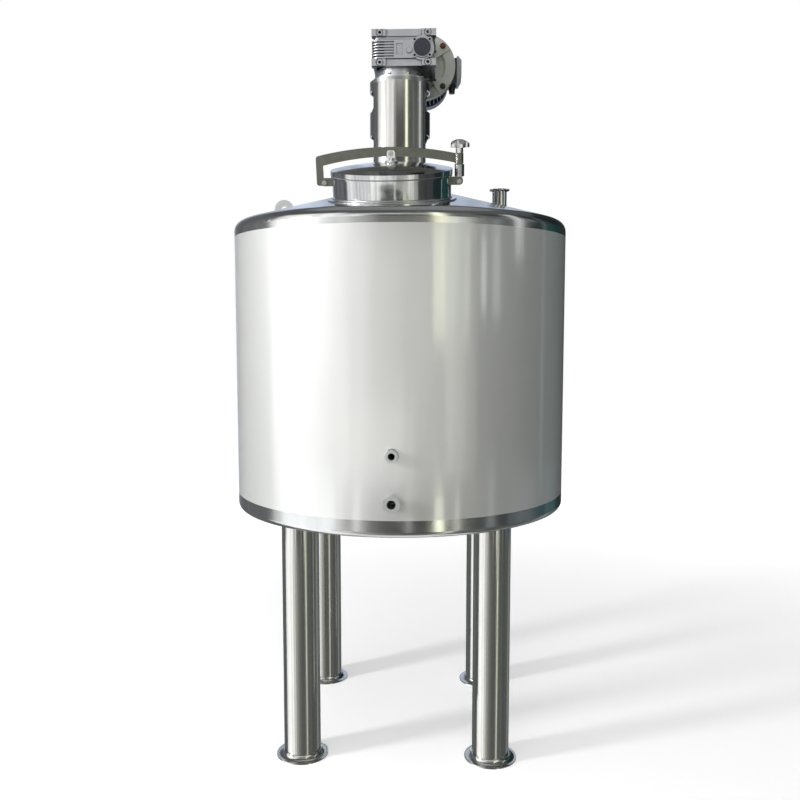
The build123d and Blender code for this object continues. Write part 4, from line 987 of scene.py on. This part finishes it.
@dataclass
class Studio:
    """Floor, cards, lamps, world and camera, in metres."""

    ring_r: float = 5.2
    folds: float = 2.6              # per metre
    fold_depth: float = 0.4
    ceiling_z: float = 5.55
    ceiling_r: Pair = (2.6, 6.4)
    ceiling_levels: Pair = (0.36, 0.15)
    floor_half: float = 14.0
    floor_fade: Pair = (1.2, 4.5)
    floor_glow: Pair = (0.46, 0.8)
    ambient: float = 0.27
    lens: float = 38.83
    camera_at: tuple[float, float, float] = (0.1389, -3.2196, 1.5127)
    camera_down: float = 5.276      # degrees below level

    def emission(self, name: str, tone: str, level: float) -> Material:
        """Makes the glow of a studio card with its faint upright folds.

        Args:
            name: the material's name.
            tone: its hex colour.
            level: its strength, where 1 is white.

        Returns:
            The material.
        """
        material, tree, place = blank_material(name)
        folds = noise(tree, vector_maths(tree, "MULTIPLY", place, (1, 1, 0.06)), self.folds, 3.0, 0.6)
        strength = spread_over(tree, folds, (0.36, 0.64), (
            level * (1 - self.fold_depth), level * (1 + self.fold_depth)))
        glow = add_node(tree, "ShaderNodeEmission", {"Color": linear(tone), "Strength": strength})
        add_node(tree, "ShaderNodeOutputMaterial", {"Surface": glow.outputs[0]})
        return material

    def build_card(self, name: str, make: Callable[[Shape], None], tone: str, level: float) -> None:
        """Makes a glowing card that polished metal shows and nothing else does."""
        mesh = mesh_from(name, make)
        mesh.materials.append(self.emission(name, tone, level))
        card = linked(name, mesh)
        card.visible_camera = card.visible_diffuse = card.visible_shadow = False
        card.visible_transmission = card.visible_volume_scatter = False

    def build_ceiling(self) -> None:
        """Makes the dark ceiling round a paler middle that the knuckle and the cone show."""
        def rim(shape: Shape, radius: float) -> list[bmesh.types.BMVert]:
            """Adds a circle of points at the ceiling's height."""
            return [shape.verts.new((radius * x, radius * y, self.ceiling_z)) for x, y in circle(32)]

        def ring(shape: Shape) -> None:
            """Fills the mesh with the flat ring."""
            near, far = [rim(shape, radius) for radius in self.ceiling_r]
            for i, _ in enumerate(near):
                shape.faces.new((near[i - 1], far[i - 1], far[i], near[i]))

        def middle(shape: Shape) -> None:
            """Fills the mesh with the flat middle."""
            shape.faces.new(rim(shape, self.ceiling_r[0]))

        self.build_card("dark_ceiling", ring, "#E8EAEC", self.ceiling_levels[1])
        self.build_card("ceiling_middle", middle, "#E8EAEC", self.ceiling_levels[0])

    @staticmethod
    def seen(tree: Tree) -> Socket:
        """Gives 1 to rays from the camera and from gloss and glass, and 0 to the rest."""
        path = add_node(tree, "ShaderNodeLightPath").outputs
        shiny = maths(tree, "MAXIMUM", path["Is Camera Ray"], path["Is Glossy Ray"])
        return maths(tree, "MAXIMUM", shiny, path["Is Transmission Ray"])

    def build_floor(self) -> None:
        """Makes the plain pale floor; it keeps the tank's shadow."""
        def make(shape: Shape) -> None:
            """Fills the mesh with a flat square."""
            bmesh.ops.create_grid(shape, x_segments=4, y_segments=4, size=self.floor_half)

        material, tree, place = blank_material("pale_studio_floor")
        away = vector_maths(tree, "LENGTH", place)
        level = spread_over(tree, away, self.floor_fade, self.floor_glow, "SMOOTHSTEP")
        paint = add_node(tree, "ShaderNodeBsdfDiffuse", {"Color": linear("#EDEDED")})
        glow = add_node(tree, "ShaderNodeEmission", {
            "Color": (1, 1, 1, 1), "Strength": maths(tree, "MULTIPLY", self.seen(tree), level)})
        both = add_node(tree, "ShaderNodeAddShader", {0: paint.outputs[0], 1: glow.outputs[0]})
        add_node(tree, "ShaderNodeOutputMaterial", {"Surface": both.outputs[0]})
        mesh = mesh_from("studio_floor", make)
        mesh.materials.append(material)
        floor = linked("studio_floor", mesh)
        floor.visible_glossy = False

    def build_world(self) -> None:
        """Makes a white background over a soft even light."""
        world = bpy.data.worlds.new("studio")
        bpy.context.scene.world = world
        world.use_nodes = True
        tree = world.node_tree
        tree.nodes.clear()
        level = maths(tree, "MULTIPLY_ADD", self.seen(tree), 1.0 - self.ambient, self.ambient)
        sky = add_node(tree, "ShaderNodeBackground", {"Color": (1, 1, 1, 1), "Strength": level})
        add_node(tree, "ShaderNodeOutputWorld", {"Surface": sky.outputs[0]})

    @staticmethod
    def lamp(name: str, spot: tuple[float, float, float], aim: float, size: Pair,
             power: float, mirrored: bool = False) -> None:
        """Adds a rectangular lamp.

        Args:
            name: its name.
            spot: its place in metres.
            aim: the height on the tank's axis that it faces.
            size: its width and height.
            power: its power in watts.
            mirrored: whether polished metal shows it.
        """
        data = bpy.data.lights.new(name, "AREA")
        data.shape = "RECTANGLE"
        data.size, data.size_y = size
        data.energy = power
        lamp = linked(name, data)
        lamp.visible_glossy = mirrored
        lamp.matrix_world = facing(Vector(spot) - Vector((0, 0, aim)), Vector(spot))

    def build_camera(self) -> None:
        """Puts the camera at the photograph's viewing angle."""
        data = bpy.data.cameras.new("camera")
        data.lens = self.lens
        data.sensor_width = 36.0
        data.clip_end = 100.0
        camera = linked("camera", data)
        spot = Vector(self.camera_at)
        level = Vector((-spot.x, -spot.y, 0)).normalized()
        down = math.radians(self.camera_down)
        look = level * math.cos(down) - Vector((0, 0, 1)) * math.sin(down)
        camera.matrix_world = facing(-look, spot)
        bpy.context.scene.camera = camera

    def build(self) -> None:
        """Builds the studio: a key lamp at the left, a wide one overhead and a weak fill."""
        bpy.context.scene.view_settings.view_transform = "Standard"
        self.build_floor()
        for card in CARDS:
            self.build_card(card.name, partial(card.bend, self.ring_r), card.tone, card.level)
        self.build_ceiling()
        self.build_world()
        self.lamp("key_lamp", (-4.45, -2.27, 2.35), 1.2, (0.7, 0.9), 170.0, mirrored=True)
        self.lamp("top_lamp", (-0.4, -1.2, 4.6), 1.2, (3.2, 3.2), 60.0)
        self.lamp("fill_lamp", (-1.3, -4.3, 1.1), 1.1, (3.4, 1.2), 18.0)
        self.build_camera()


def main() -> None:
    """Dresses the solids, adds the pieces and sets the studio."""
    logging.basicConfig(level=logging.INFO, format="%(name)s %(message)s")
    dress_nodes()
    shell = Shell()
    shell.build()
    Manway(shell=shell).build()
    Drive().build()
    Studio().build()


if __name__ == "__main__":
    main()
